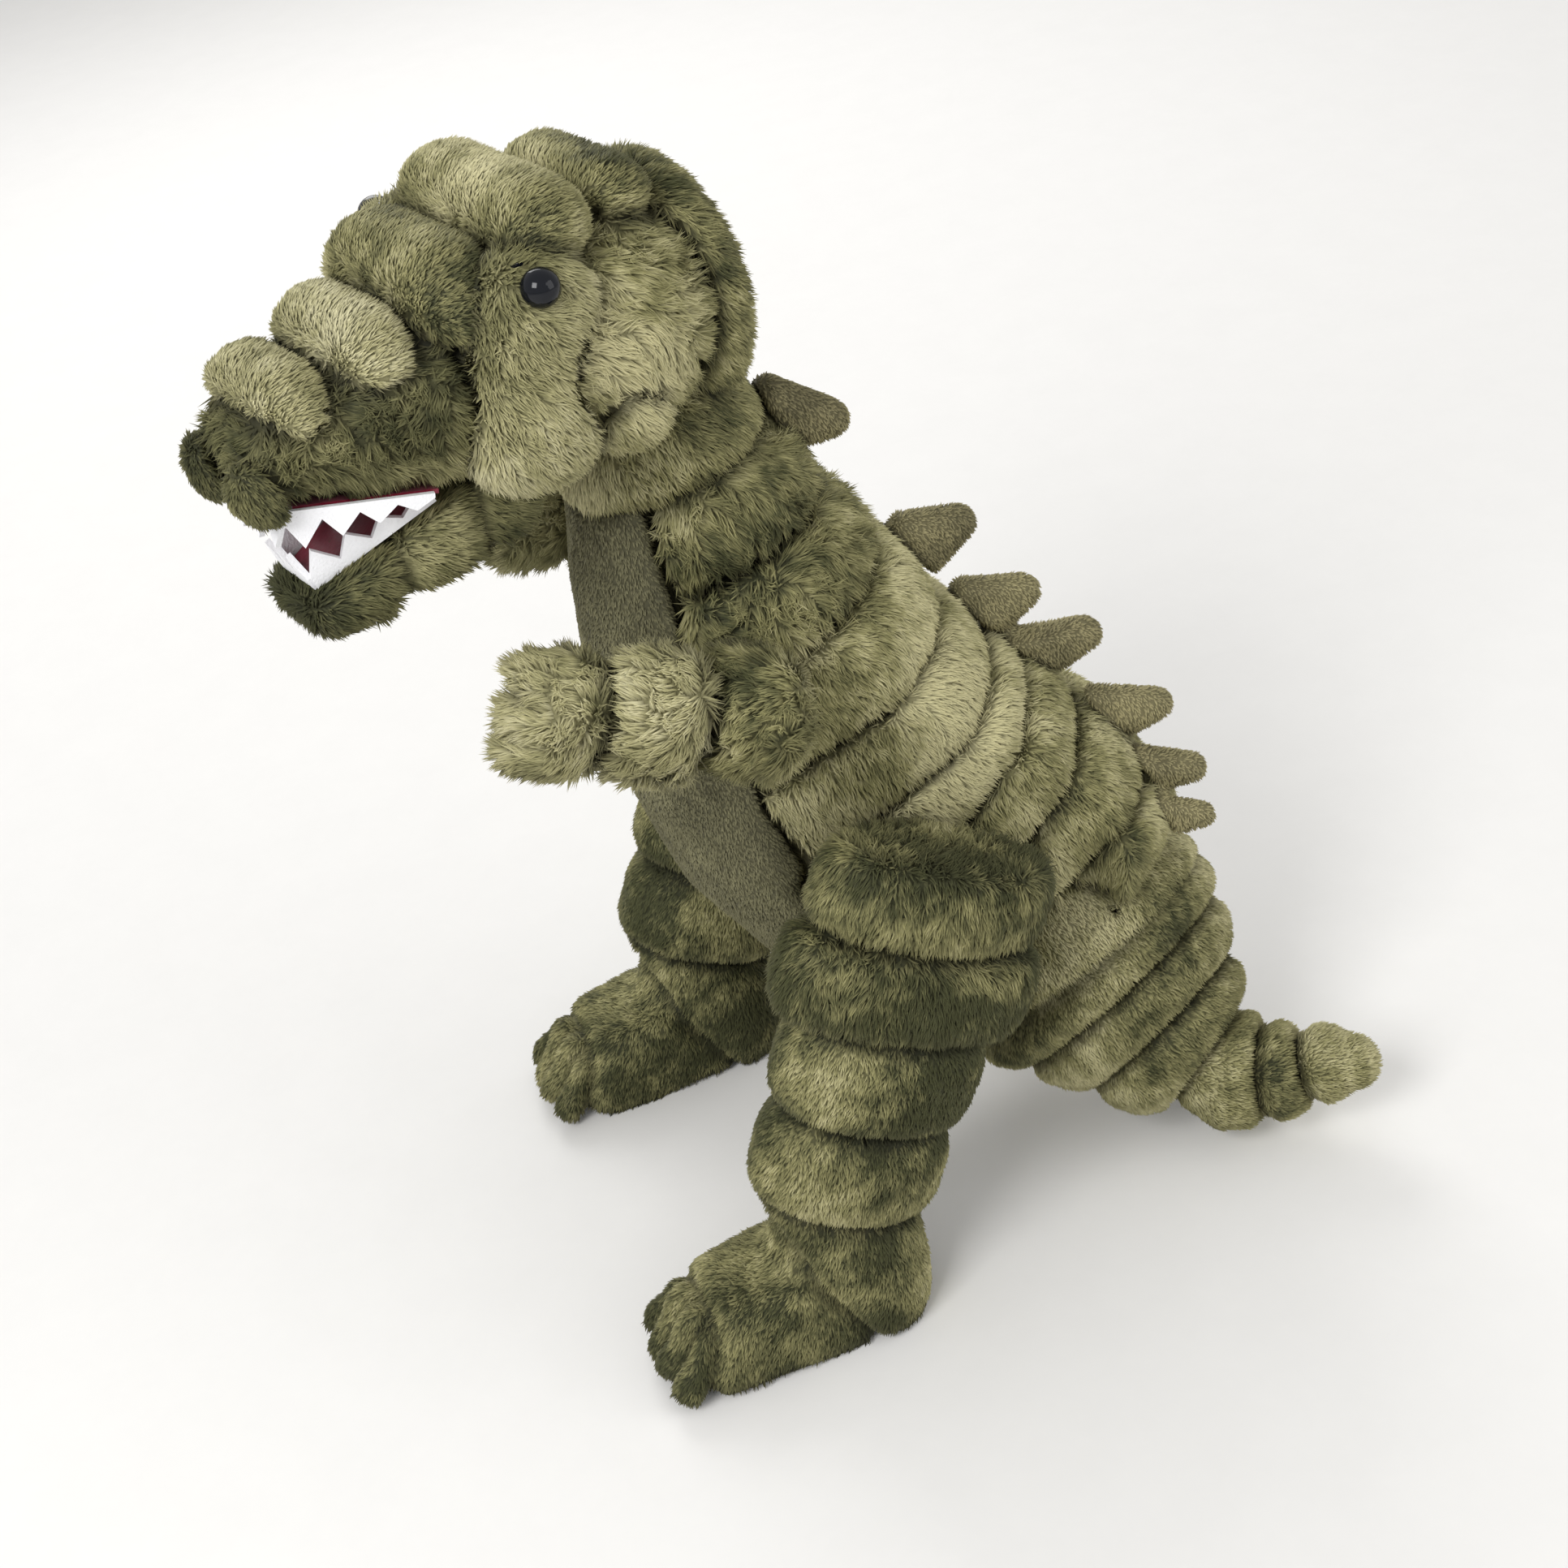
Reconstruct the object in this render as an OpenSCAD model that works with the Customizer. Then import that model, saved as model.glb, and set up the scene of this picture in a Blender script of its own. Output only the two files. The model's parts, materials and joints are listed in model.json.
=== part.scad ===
// Stuffed dinosaur that stands on two feet, in millimetres.
// +X is the toy's left, -Y its front and +Z up. The origin is on the ground under the middle
// of its box. The body is a row of padded bands along a curved spine, each open at the belly.

/* [Spine] */
// Neck joint: left, back, up
neck_at = [0, -18, 256]; // [-60:1:300]
// Middle of the chest, behind the neck joint
chest_at = [0, -7, 200]; // [-60:1:300]
// Middle of the waist
waist_at = [0, 15, 140]; // [-60:1:300]
// Middle of the rump
rump_at = [5, 51, 98]; // [-60:1:300]
// Joint at the root of the tail
tail_root_at = [20, 74, 63]; // [-60:1:300]
// Joint in the middle of the tail
tail_mid_at = [54, 101, 25]; // [-60:1:300]
// Middle of the tail's last ring
tail_end_at = [76, 134, 27]; // [-60:1:300]
// Radius at the neck joint
neck_r = 32; // [28:1:36]
// Radius at the chest
chest_r = 50; // [44:1:56]
// Radius at the waist
waist_r = 61; // [54:1:66]
// Radius at the rump
rump_r = 61; // [54:1:64]
// Radius at the tail's root
tail_root_r = 50; // [44:1:53]
// Radius at the middle of the tail
tail_mid_r = 22; // [18:1:25]
// Radius at the tail's end
tail_end_r = 11; // [8:1:14]

/* [Padding] */
// Thickness of a padded band over the stuffing
pad_t = 10; // [7:1:13]
// Thickness of the padding where a limb lies against the body
flat_pad_t = 5; // [3:0.5:6]
// How far a band bulges past its seams
bulge = 3.5; // [1:0.5:5]
// Half of the angle that the smooth belly panel covers
belly_half_angle = 62; // [45:1:75]
// Gap between neighbouring pieces of one body
seam_gap = 0.3; // [0.2:0.1:0.5]
// Clearance between a ball and its socket, and between a limb and the side it swings past
joint_gap = 0.6; // [0.4:0.1:1]

/* [Spikes] */
// Length of a back spike along its lean, to the middle of its rounded tip
spike_l = 15; // [11:1:18]
// Length of a back spike's foot along the spine
spike_foot = 21; // [16:1:23]
// Thickness of a back spike at its foot
spike_t = 12; // [8:1:14]

/* [Head] */
// Angle that the head is turned to the toy's left
head_turn = 17; // [0:1:20]
// Radius of the skull's main rounding
skull_r = 30; // [26:1:33]
// Radius of the snout at its front
snout_r = 13; // [10:1:15]
// Radius of a nostril puff
nostril_r = 9.5; // [6:0.5:11]
// Radius of a cheek band
cheek_r = 15; // [11:1:17]
// Radius of a jowl band
jowl_r = 13; // [9:1:15]
// Radius of an eye
eye_r = 5; // [4.5:0.1:6.5]

/* [Mouth] */
// Radius of the lower jaw's rounded hinge end
jaw_hinge_r = 13; // [10:1:14]
// Half of the jaw's width at its hinge
jaw_half_w = 22; // [18:1:24]
// Length of the lower jaw, from its hinge to the middle of its tip
jaw_l = 48; // [40:1:54]
// Radius of the lower jaw's tip
jaw_tip_r = 9; // [7:1:10]
// Height of the longest felt tooth
tooth_h = 11; // [6:1:12]
// Thickness of the felt teeth
felt_t = 1.6; // [1:0.2:2.4]
// Thickness of the mouth's lining
lining_t = 1.2; // [0.8:0.2:2]

/* [Arms] */
// Shoulder joint of the left arm
shoulder_at = [68, -16, 204]; // [-60:1:300]
// Half of an arm's width across
arm_half_w = 15; // [11:1:15]
// Half of an arm's height
arm_half_h = 20; // [15:1:22]
// Angle of an arm above level, pointing forwards
arm_lift = 22; // [0:1:40]
// Length of an arm from its joint to its fingers
arm_l = 76; // [60:1:90]

/* [Legs] */
// Hip joint of the left leg
hip_at = [71, 13, 131]; // [-60:1:300]
// Half of a leg's width across
leg_half_w = 23; // [18:1:23]
// Half of the thigh's length, front to back
thigh_half_l = 41; // [34:1:44]
// Half of the shin's length, front to back
shin_half_l = 32; // [26:1:34]
// Angle that a leg leans forwards
leg_lean = 26; // [15:1:32]
// Length of a foot
foot_l = 92; // [76:1:104]

/* [Hidden] */
$fn = 32;
round_fn = 48;
eps = 0.01;
// A seam's edge is a thin slab, so that the band's hull keeps clean corners.
slab_t = 0.4;
seam_inset = (seam_gap + slab_t) / 2;
far_off = 400;

// The spine runs from the neck, key 0, to the tail's end, key 6.
spine_keys = [
    [each neck_at, neck_r],
    [each chest_at, chest_r],
    [each waist_at, waist_r],
    [each rump_at, rump_r],
    [each tail_root_at, tail_root_r],
    [each tail_mid_at, tail_mid_r],
    [each tail_end_at, tail_end_r]
];
last_key = len(spine_keys) - 1;
tail_root_u = 4;
tail_mid_u = 5;
body_bands = 8;
belly_bands = 6;
tail_bands = 3;

// A body ends short of the ball that the next one turns on.
torso_end_u = tail_root_u - 0.28;
tail_part_end_u = tail_mid_u - 0.13;
body_step = torso_end_u / body_bands;
tail_step = (tail_part_end_u - tail_root_u) / tail_bands;
tip_step = (last_key - tail_mid_u) / tail_bands;

neck_ball_r = neck_r - 1;
tail_root_ball_r = tail_root_r - bulge - 0.5;
tail_mid_ball_r = tail_mid_r - bulge - 0.5;

spike_us = [0.1, 1.22, 1.75, 2.5, 2.95, 3.25, 3.54];
spike_scales = [1.05, 1.05, 1.05, 1.05, 0.95, 0.85, 0.7];
spike_leans = [34, 5, 18, 40, 42, 50, 50];
spike_sink = 5;
spike_reach_u = 0.2;

// Places on the head, before it is turned: half across, back and up.
skull_back = [14, -34, 306];
skull_front = [16, -60, 304];
skull_front_r = skull_r - 4;
skull_skin_t = 6;
snout_back = [15, -86, 304];
snout_back_r = snout_r + 7;
snout_front = [8, -124, 305];
mouth_corner = [-93, 285];
lip_rise = 11;
roll_a = [0, -121, 317];
roll_b = [0, -98, 323];
roll_c = [0, -76, 331];
brow_at = [0, -51, 339];
crown_at = [0, -27, 336];
roll_a_r = 11;
roll_b_r = 12;
roll_c_r = 14;
brow_r = 13;
crown_r = 11;
nape_at = [0, -9, 303];
nape_ring_r = 24;
nape_r = 12;
cheek_top = [29, -63, 325];
cheek_foot = [31, -70, 293];
jowl_top = [29, -41, 312];
jowl_foot = [31, -43, 290];
nostril_at = [12, -134, 300];
eye_at = [cheek_top[0] + cheek_r - 1.5, -62, 331];
eye_stem_r = 2;
eye_stem_l = 10;
washer_r = 5.5;
washer_t = 2;

jaw_pivot = [0, -78, 270];
jaw_drop = 15.5;
jaw_tip_half = 10;
chin_r = 7;
tooth_min = 3;
tooth_set = 2;
side_teeth = 4;
front_teeth = 3;
mouth_back_half = 25;
mouth_front_half = 14;
lower_inset = 5;
mouth_start = 10;
mouth_l = 36;
// The jaw's top is the plane that touches its hinge end and its tip.
jaw_slope = jaw_drop + asin((jaw_hinge_r - jaw_tip_r) / jaw_l);

side_clear = 47;
hip_sweep_r = 68;
shoulder_sweep_r = 44;
shoulder_boss_r = 7;
hip_boss_r = 18;
arm_inner = shoulder_at[0] - arm_half_w;
leg_inner = hip_at[0] - leg_half_w;

// Distances down the leg from the hip joint to each seam.
leg_seams = [-22, 5, 33, 64, 95];
ankle_z = 40;
heel_r = leg_half_w;
heel_y = hip_at[1] - 17 - heel_r;
toe_r = 9;
toe_front_y = heel_y + heel_r - foot_l;
toe_spread = leg_half_w - toe_r;
instep_h = 46;

arm_seams = [-8, 20, 48];

// ---- The spine ----

function catmull(a, b, c, d, t) =
    0.5 * (2 * b + (c - a) * t + (2 * a - 5 * b + 4 * c - d) * t * t + (3 * b - a - 3 * c + d) * t * t * t);

// Middle and radius of the body at u, as [x, y, z, r].
function spine(u) =
    let (
        i = max(0, min(floor(u), last_key - 1)),
        k = spine_keys,
        before = i > 0 ? k[i - 1] : 2 * k[0] - k[1],
        after = i + 2 <= last_key ? k[i + 2] : 2 * k[last_key] - k[last_key - 1]
    )
    catmull(before, k[i], k[i + 1], after, u - i);

function spine_r(u) = spine(u)[3];

// Direction along the spine at u, towards the head.
function headward(u) =
    let (
        a = spine(max(0, u - 0.05)),
        b = spine(min(last_key, u + 0.05)),
        v = [a[0] - b[0], a[1] - b[1], a[2] - b[2]]
    )
    v / norm(v);

// Local +Z runs to the head and local -Y to the belly.
module at_spine(u) {
    s = spine(u);
    v = headward(u);
    translate([s[0], s[1], s[2]])
        rotate([0, 0, atan2(v[0], -v[1])])
            rotate([acos(v[2]), 0, 0])
                children();
}

module disc(u, r, slide = 0) {
    at_spine(u)
        translate([0, 0, slide])
            cylinder(r = r, h = slab_t, center = true);
}

// One puffed band between two seams.
module band(u0, u1) {
    hull() {
        disc(u0, spine_r(u0) - bulge, -seam_inset);
        disc(u0 + 0.28 * (u1 - u0), spine_r(u0 + 0.28 * (u1 - u0)));
        disc(u0 + 0.72 * (u1 - u0), spine_r(u0 + 0.72 * (u1 - u0)));
        disc(u1, spine_r(u1) - bulge, seam_inset);
    }
}

// The stuffing inside one band, grown for clearance or run past the seams for a cut.
module band_core(u0, u1, grow = 0, past = 0) {
    hull() {
        disc(u0, spine_r(u0) - pad_t + grow, past);
        disc(u1, spine_r(u1) - pad_t + grow, -past);
    }
}

// The wedge of a band that the belly panel takes.
module belly_wedge(u, shift = 0) {
    a = belly_half_angle;
    reach = 100;
    at_spine(u)
        translate([0, shift, 0])
            linear_extrude(height = reach, center = true)
                polygon([[0, 0], [reach * sin(a), -reach * cos(a)], [reach, -reach], [-reach, -reach],
                    [-reach * sin(a), -reach * cos(a)]]);
}

// Room on the toy's sides for the limbs to swing, grown where padding lies behind it.
module limb_room(grow = 0) {
    for (side = [-1, 1]) {
        translate([side * (side_clear - grow + far_off / 2), hip_at[1], hip_at[2]])
            rotate([0, 90, 0])
                cylinder(r = hip_sweep_r + grow, h = far_off, center = true, $fn = round_fn);
        translate([side * (arm_inner - joint_gap - grow + far_off / 2), shoulder_at[1], shoulder_at[2]])
            rotate([0, 90, 0])
                cylinder(r = shoulder_sweep_r + grow, h = far_off, center = true, $fn = round_fn);
    }
}

module ball(key, r) {
    k = spine_keys[key];
    translate([k[0], k[1], k[2]])
        sphere(r = r);
}

// The head side of a ball, which the next body towards the head turns on.
module ball_cap(key, r, sink = 1) {
    difference() {
        ball(key, r);
        at_spine(key)
            translate([0, 0, -far_off - sink])
                cylinder(r = far_off, h = far_off);
    }
}

// ---- Torso ----

module body_band(i) {
    u0 = i * body_step;
    u1 = u0 + body_step;
    color(i % 2 == 0 ? "darkolivegreen" : "darkkhaki")
        difference() {
            band(u0, u1);
            difference() {
                band_core(u0, u1, 0, 1);
                limb_room(flat_pad_t);
            }
            if (i < belly_bands)
                belly_wedge((u0 + u1) / 2, seam_gap);
            limb_room();
            if (i >= body_bands - 2)
                ball(tail_root_u, tail_root_ball_r + joint_gap);
        }
}

module belly_panel() {
    color("dimgray")
        difference() {
            for (i = [0 : belly_bands - 1]) {
                u0 = i * body_step;
                u1 = u0 + body_step;
                intersection() {
                    difference() {
                        hull() {
                            disc(u0, spine_r(u0) - bulge, -seam_inset);
                            disc(u1, spine_r(u1) - bulge, i == belly_bands - 1 ? seam_inset : 0);
                        }
                        difference() {
                            band_core(u0, u1, 0, 1);
                            limb_room(flat_pad_t);
                        }
                    }
                    belly_wedge((u0 + u1) / 2, -2 * seam_gap);
                }
            }
            limb_room();
        }
}

module body_stuffing() {
    color("ivory")
        difference() {
            union() {
                for (i = [0 : body_bands - 1])
                    band_core(i * body_step, (i + 1) * body_step, -seam_gap);
                ball_cap(0, neck_ball_r, 0);
            }
            limb_room(flat_pad_t + seam_gap);
            ball(tail_root_u, tail_root_ball_r + joint_gap);
        }
}

// ---- Spikes ----

// A flattened soft cone that leans to the tail, standing on the bands.
module spike(i) {
    u = spike_us[i];
    size = spike_scales[i];
    reach = spike_l * size;
    difference() {
        at_spine(u)
            translate([0, spine_r(u), 0])
                hull() {
                    translate([0, -spike_sink, 0])
                        rotate([-90, 0, 0])
                            scale([spike_t / spike_foot, 1, 1])
                                cylinder(d = spike_foot * size, h = spike_sink + 1, $fn = 24);
                    translate([0, reach * cos(spike_leans[i]), -reach * sin(spike_leans[i])])
                        sphere(r = spike_t * size / 3, $fn = 16);
                }
        hull()
            for (k = [-2 : 2])
                disc(u + k * spike_reach_u, spine_r(u + k * spike_reach_u) + 2 * seam_gap);
    }
}

module nape_spike() {
    color("olive")
        spike(0);
}

module back_spikes() {
    color("olive")
        for (i = [1 : len(spike_us) - 1])
            spike(i);
}

// ---- Tail ----

module tail_band(i) {
    on_tip = i >= tail_bands;
    start = on_tip ? tail_mid_u : tail_root_u;
    step = on_tip ? tip_step : tail_step;
    u0 = start + (i % tail_bands) * step;
    u1 = u0 + step;
    color(i % 2 == 0 ? "darkkhaki" : "darkolivegreen")
        difference() {
            union() {
                band(u0, u1);
                if (i == 0)
                    ball_cap(tail_root_u, tail_root_ball_r);
                if (i == tail_bands)
                    ball_cap(tail_mid_u, tail_mid_ball_r);
                if (i == 2 * tail_bands - 1)
                    ball(last_key, tail_end_r - bulge / 2);
            }
            if (i == 1 || i == 2)
                ball(tail_mid_u, tail_mid_ball_r + joint_gap);
            if (i == 2 * tail_bands - 2)
                ball(last_key, tail_end_r - bulge / 2 + seam_gap);
        }
}

// ---- Head ----

// Turns the head about the upright axis through the neck joint.
module turned() {
    translate(neck_at)
        rotate([0, 0, head_turn])
            translate(-neck_at)
                children();
}

function mirrored(p) = [-p[0], p[1], p[2]];

module pair_of_spheres(p, r) {
    for (q = [p, mirrored(p)])
        translate(q)
            sphere(r = r, $fn = 16);
}

module capsule(p, q, r) {
    v = q - p;
    translate(p) {
        sphere(r = r, $fn = round_fn);
        rotate([0, acos(v[2] / norm(v)), atan2(v[1], v[0])])
            cylinder(r = r, h = norm(v), $fn = round_fn);
    }
    translate(q)
        sphere(r = r, $fn = round_fn);
}

// A soft roll lying across the head.
module roll(at, half, r, grow = 0) {
    capsule(at - [half, 0, 0], at + [half, 0, 0], r + grow);
}

module skull_form(grow = 0) {
    hull() {
        pair_of_spheres(skull_back, skull_r + grow);
        pair_of_spheres(skull_front, skull_front_r + grow);
    }
}

module snout_form(grow = 0) {
    intersection() {
        hull() {
            pair_of_spheres(snout_back, snout_back_r + grow);
            pair_of_spheres(snout_front, snout_r + grow);
        }
        at_lip()
            translate([-far_off, -far_off, -grow])
                cube(2 * far_off);
    }
}

// Local z = 0 is the underside of the snout, from the corner of the mouth forwards.
module at_lip() {
    translate([0, mouth_corner[0], mouth_corner[1]])
        rotate([-lip_rise, 0, 0])
            children();
}

// Local z = jaw_hinge_r is the top of the lower jaw.
module at_jaw() {
    translate(jaw_pivot)
        rotate([jaw_slope, 0, 0])
            children();
}

module jaw_barrel(r, half) {
    translate(jaw_pivot)
        rotate([0, 90, 0])
            cylinder(r = r, h = 2 * half, center = true, $fn = round_fn);
}

// What the head's pieces leave free for the neck and for the jaw.
module head_room() {
    ball(0, neck_ball_r + joint_gap);
    jaw_barrel(jaw_hinge_r + joint_gap, jaw_half_w + joint_gap);
}

module skull_cover() {
    color("olivedrab")
        turned()
            difference() {
                skull_form();
                skull_form(-skull_skin_t);
                head_room();
            }
}

module head_stuffing() {
    color("ivory")
        turned()
            difference() {
                skull_form(-skull_skin_t - seam_gap);
                ball(0, neck_ball_r + 2 * joint_gap);
                jaw_barrel(jaw_hinge_r + 2 * joint_gap, jaw_half_w + 2 * joint_gap);
            }
}

module snout_cover() {
    color("darkolivegreen")
        turned()
            difference() {
                snout_form();
                skull_form(seam_gap);
                head_room();
            }
}

module nostril(side) {
    color("darkolivegreen")
        turned()
            difference() {
                translate([side * nostril_at[0], nostril_at[1], nostril_at[2]])
                    sphere(r = nostril_r, $fn = round_fn);
                snout_form(seam_gap);
                translate([side < 0 ? 0 : -far_off - seam_gap / 2, -far_off, 0])
                    cube([far_off + seam_gap / 2, far_off, far_off]);
                at_lip()
                    translate([-far_off / 2, -mouth_l - tooth_set - felt_t, -far_off])
                        cube(far_off);
            }
}

module front_roll_form(grow = 0) {
    roll(roll_a, 9, roll_a_r, grow);
}

module middle_roll_form(grow = 0) {
    roll(roll_b, 11, roll_b_r, grow);
}

module rear_roll_form(grow = 0) {
    roll(roll_c, 14, roll_c_r, grow);
}

module brow_form(grow = 0) {
    roll(brow_at, 20, brow_r, grow);
}

module crown_form(grow = 0) {
    roll(crown_at, 15, crown_r, grow);
}

module nape_form(grow = 0) {
    translate(nape_at)
        rotate([90, 0, 0])
            rotate_extrude($fn = round_fn)
                translate([nape_ring_r, 0])
                    circle(r = nape_r + grow, $fn = 24);
}

// A soft upright roll on one side of the head.
module side_roll(side, top, foot, r) {
    hull()
        for (p = [top, foot])
            translate([side * p[0], p[1], p[2]])
                sphere(r = r, $fn = 16);
}

module cheek_form(side, grow = 0) {
    side_roll(side, cheek_top, cheek_foot, cheek_r + grow);
}

module jowl_form(side, grow = 0) {
    side_roll(side, jowl_top, jowl_foot, jowl_r + grow);
}

module snout_roll_front() {
    color("khaki")
        turned()
            difference() {
                front_roll_form();
                snout_form(seam_gap);
                for (side = [-1, 1])
                    translate([side * nostril_at[0], nostril_at[1], nostril_at[2]])
                        sphere(r = nostril_r + seam_gap, $fn = round_fn);
            }
}

module snout_roll_middle() {
    color("khaki")
        turned()
            difference() {
                middle_roll_form();
                snout_form(seam_gap);
                front_roll_form(seam_gap);
            }
}

module snout_roll_rear() {
    color("darkkhaki")
        turned()
            difference() {
                rear_roll_form();
                skull_form(seam_gap);
                snout_form(seam_gap);
                middle_roll_form(seam_gap);
            }
}

module brow_roll() {
    color("olivedrab")
        turned()
            difference() {
                brow_form();
                skull_form(seam_gap);
                rear_roll_form(seam_gap);
            }
}

module crown_roll() {
    color("darkkhaki")
        turned()
            difference() {
                crown_form();
                skull_form(seam_gap);
                brow_form(seam_gap);
            }
}

module nape_band() {
    color("olive")
        turned()
            difference() {
                nape_form();
                skull_form(seam_gap);
                crown_form(seam_gap);
                brow_form(seam_gap);
                head_room();
            }
}

module cheek_band(side) {
    color("darkkhaki")
        turned()
            difference() {
                cheek_form(side);
                skull_form(seam_gap);
                snout_form(seam_gap);
                brow_form(seam_gap);
                rear_roll_form(seam_gap);
                eye_form(side, seam_gap);
                washer_form(side, seam_gap);
                head_room();
            }
}

module jowl_band(side) {
    color("olive")
        turned()
            difference() {
                jowl_form(side);
                skull_form(seam_gap);
                cheek_form(side, seam_gap);
                nape_form(seam_gap);
                brow_form(seam_gap);
                head_room();
            }
}

module eye_form(side, grow = 0) {
    translate([side * eye_at[0], eye_at[1], eye_at[2]]) {
        sphere(r = eye_r + grow, $fn = round_fn);
        rotate([0, -90 * side, 0])
            cylinder(r = eye_stem_r + grow, h = eye_r + eye_stem_l, $fn = round_fn);
    }
}

module washer_form(side, grow = 0) {
    translate([side * (eye_at[0] - eye_r - 1), eye_at[1], eye_at[2]])
        rotate([0, -90 * side, 0])
            cylinder(r = washer_r + grow, h = washer_t + grow, $fn = round_fn);
}

module eye(side) {
    color("black")
        turned()
            eye_form(side);
}

module eye_washer(side) {
    color("white")
        turned()
            difference() {
                washer_form(side);
                eye_form(side, seam_gap / 3);
            }
}

// ---- Mouth ----

// Outline of the mouth, looking down, from its corner forwards.
module mouth_outline(back_half, front_half, length) {
    polygon([[back_half, 0], [front_half, -length], [-front_half, -length], [-back_half, 0]]);
}

// A zigzag felt strip hanging down from z = 0 along x, with its teeth growing forwards.
module zigzag(length, count, first_h, last_h) {
    pitch = length / count;
    tips = [for (i = [0 : count - 1]) first_h + (last_h - first_h) * (i + 0.5) / count];
    under = [for (i = [0 : count - 1]) each [[i * pitch, -0.3 * tips[i]], [(i + 0.5) * pitch, -tips[i]]]];
    rotate([90, 0, 0])
        linear_extrude(height = felt_t, center = true)
            polygon([[0, 0], each under, [length, -0.3 * last_h], [length, 0]]);
}

// Strips on both sides and across the front of one row of teeth, hanging from z = 0.
module tooth_row(back_half, front_half, length) {
    run = norm([back_half - front_half, length]);
    turn = atan2(back_half - front_half, length);
    for (side = [-1, 1])
        translate([side * back_half, 0, 0])
            rotate([0, 0, -90 - side * turn])
                zigzag(run, side_teeth, tooth_min, tooth_h);
    translate([-front_half, -length, 0])
        zigzag(2 * front_half, front_teeth, tooth_h, tooth_h);
}

module palate_lining() {
    color("maroon")
        turned()
            difference() {
                at_lip()
                    translate([0, 0, -lining_t - seam_gap])
                        linear_extrude(height = lining_t)
                            mouth_outline(mouth_back_half - felt_t, mouth_front_half - felt_t, mouth_l - felt_t);
                head_room();
            }
}

module upper_teeth() {
    color("white")
        turned()
            difference() {
                at_lip()
                    translate([0, -tooth_set, -seam_gap])
                        tooth_row(mouth_back_half, mouth_front_half, mouth_l);
                head_room();
            }
}

module jaw_form(grow = 0) {
    hull() {
        jaw_barrel(jaw_hinge_r + grow, jaw_half_w + grow);
        translate(jaw_pivot)
            rotate([jaw_drop, 0, 0])
                for (side = [-1, 1])
                    translate([side * jaw_tip_half, -jaw_l, 0])
                        sphere(r = jaw_tip_r + grow, $fn = 16);
    }
}

module chin_form(grow = 0) {
    translate(jaw_pivot)
        rotate([jaw_drop, 0, 0])
            roll([0, -jaw_l + 10, -jaw_tip_r], 6, chin_r, grow);
}

module jaw_cover() {
    color("darkolivegreen")
        turned()
            jaw_form();
}

module chin_puff() {
    color("olivedrab")
        turned()
            difference() {
                chin_form();
                jaw_form(seam_gap);
            }
}

module mouth_floor_lining() {
    color("maroon")
        turned()
            at_jaw()
                translate([0, -mouth_start, jaw_hinge_r + seam_gap])
                    linear_extrude(height = lining_t)
                        mouth_outline(jaw_half_w - lower_inset - felt_t, mouth_front_half - lower_inset - felt_t,
                            mouth_l - felt_t);
}

module lower_teeth() {
    color("white")
        turned()
            at_jaw()
                translate([0, -mouth_start, jaw_hinge_r + seam_gap])
                    mirror([0, 0, 1])
                        tooth_row(jaw_half_w - lower_inset, mouth_front_half - lower_inset, mouth_l);
}

// ---- Arms ----

// Local +Z runs from the shoulder to the fingers.
module at_shoulder(side) {
    translate([side * shoulder_at[0], shoulder_at[1], shoulder_at[2]])
        rotate([90 - arm_lift, 0, 0])
            children();
}

module oval_disc(s, half_w, half_h, h = slab_t) {
    translate([0, 0, s])
        scale([half_w, half_h, 1])
            cylinder(r = 1, h = h, center = true);
}

// A puffed length of a limb between two seams.
module limb_band(s0, s1, half_w, half_h) {
    hull() {
        oval_disc(s0 + seam_inset, half_w - bulge, half_h - bulge);
        oval_disc((s0 + s1) / 2, half_w, half_h, 0.45 * (s1 - s0));
        oval_disc(s1 - seam_inset, half_w - bulge, half_h - bulge);
    }
}

// A round boss that carries a limb on the body's side, along the joint's axis.
module limb_boss(side, at, inner, r) {
    translate([side * inner, at[1], at[2]])
        rotate([0, 90 * side, 0])
            cylinder(r = r, h = at[0] - inner, $fn = round_fn);
}

module shoulder_puff(side) {
    color("olive") {
        at_shoulder(side)
            limb_band(arm_seams[0], arm_seams[1], arm_half_w, arm_half_h - 2);
        limb_boss(side, shoulder_at, chest_r + joint_gap, shoulder_boss_r);
    }
}

module forearm_puff(side) {
    color("darkkhaki")
        at_shoulder(side)
            limb_band(arm_seams[1], arm_seams[2], arm_half_w, arm_half_h);
}

module hand(side) {
    finger_r = arm_half_h / 3;
    color("darkkhaki")
        at_shoulder(side) {
            hull() {
                oval_disc(arm_seams[2] + seam_inset, arm_half_w - bulge, arm_half_h - bulge);
                oval_disc(arm_seams[2] + 8, arm_half_w, arm_half_h - 1);
                oval_disc(arm_l - 1.5 * finger_r, arm_half_w - 1, arm_half_h - 2);
                for (k = [-1 : 1])
                    translate([0, k * finger_r * 1.6, arm_l - finger_r])
                        sphere(r = finger_r, $fn = 16);
            }
        }
}

// ---- Legs ----

// Local +Z runs from the hip down the leg.
module at_hip(side) {
    translate([side * hip_at[0], hip_at[1], hip_at[2]])
        rotate([180 - leg_lean, 0, 0])
            children();
}

module thigh_pad_upper(side) {
    color("olivedrab")
        difference() {
            union() {
                at_hip(side)
                    limb_band(leg_seams[0], leg_seams[1], leg_half_w - 3, thigh_half_l - 4);
                limb_boss(side, hip_at, side_clear + joint_gap, hip_boss_r);
            }
            at_hip(side)
                translate([0, 0, leg_seams[1] - seam_gap / 2])
                    cylinder(r = thigh_half_l, h = thigh_half_l, $fn = round_fn);
        }
}

module thigh_pad_lower(side) {
    color("darkolivegreen")
        at_hip(side)
            limb_band(leg_seams[1], leg_seams[2], leg_half_w - 1, thigh_half_l);
}

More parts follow.
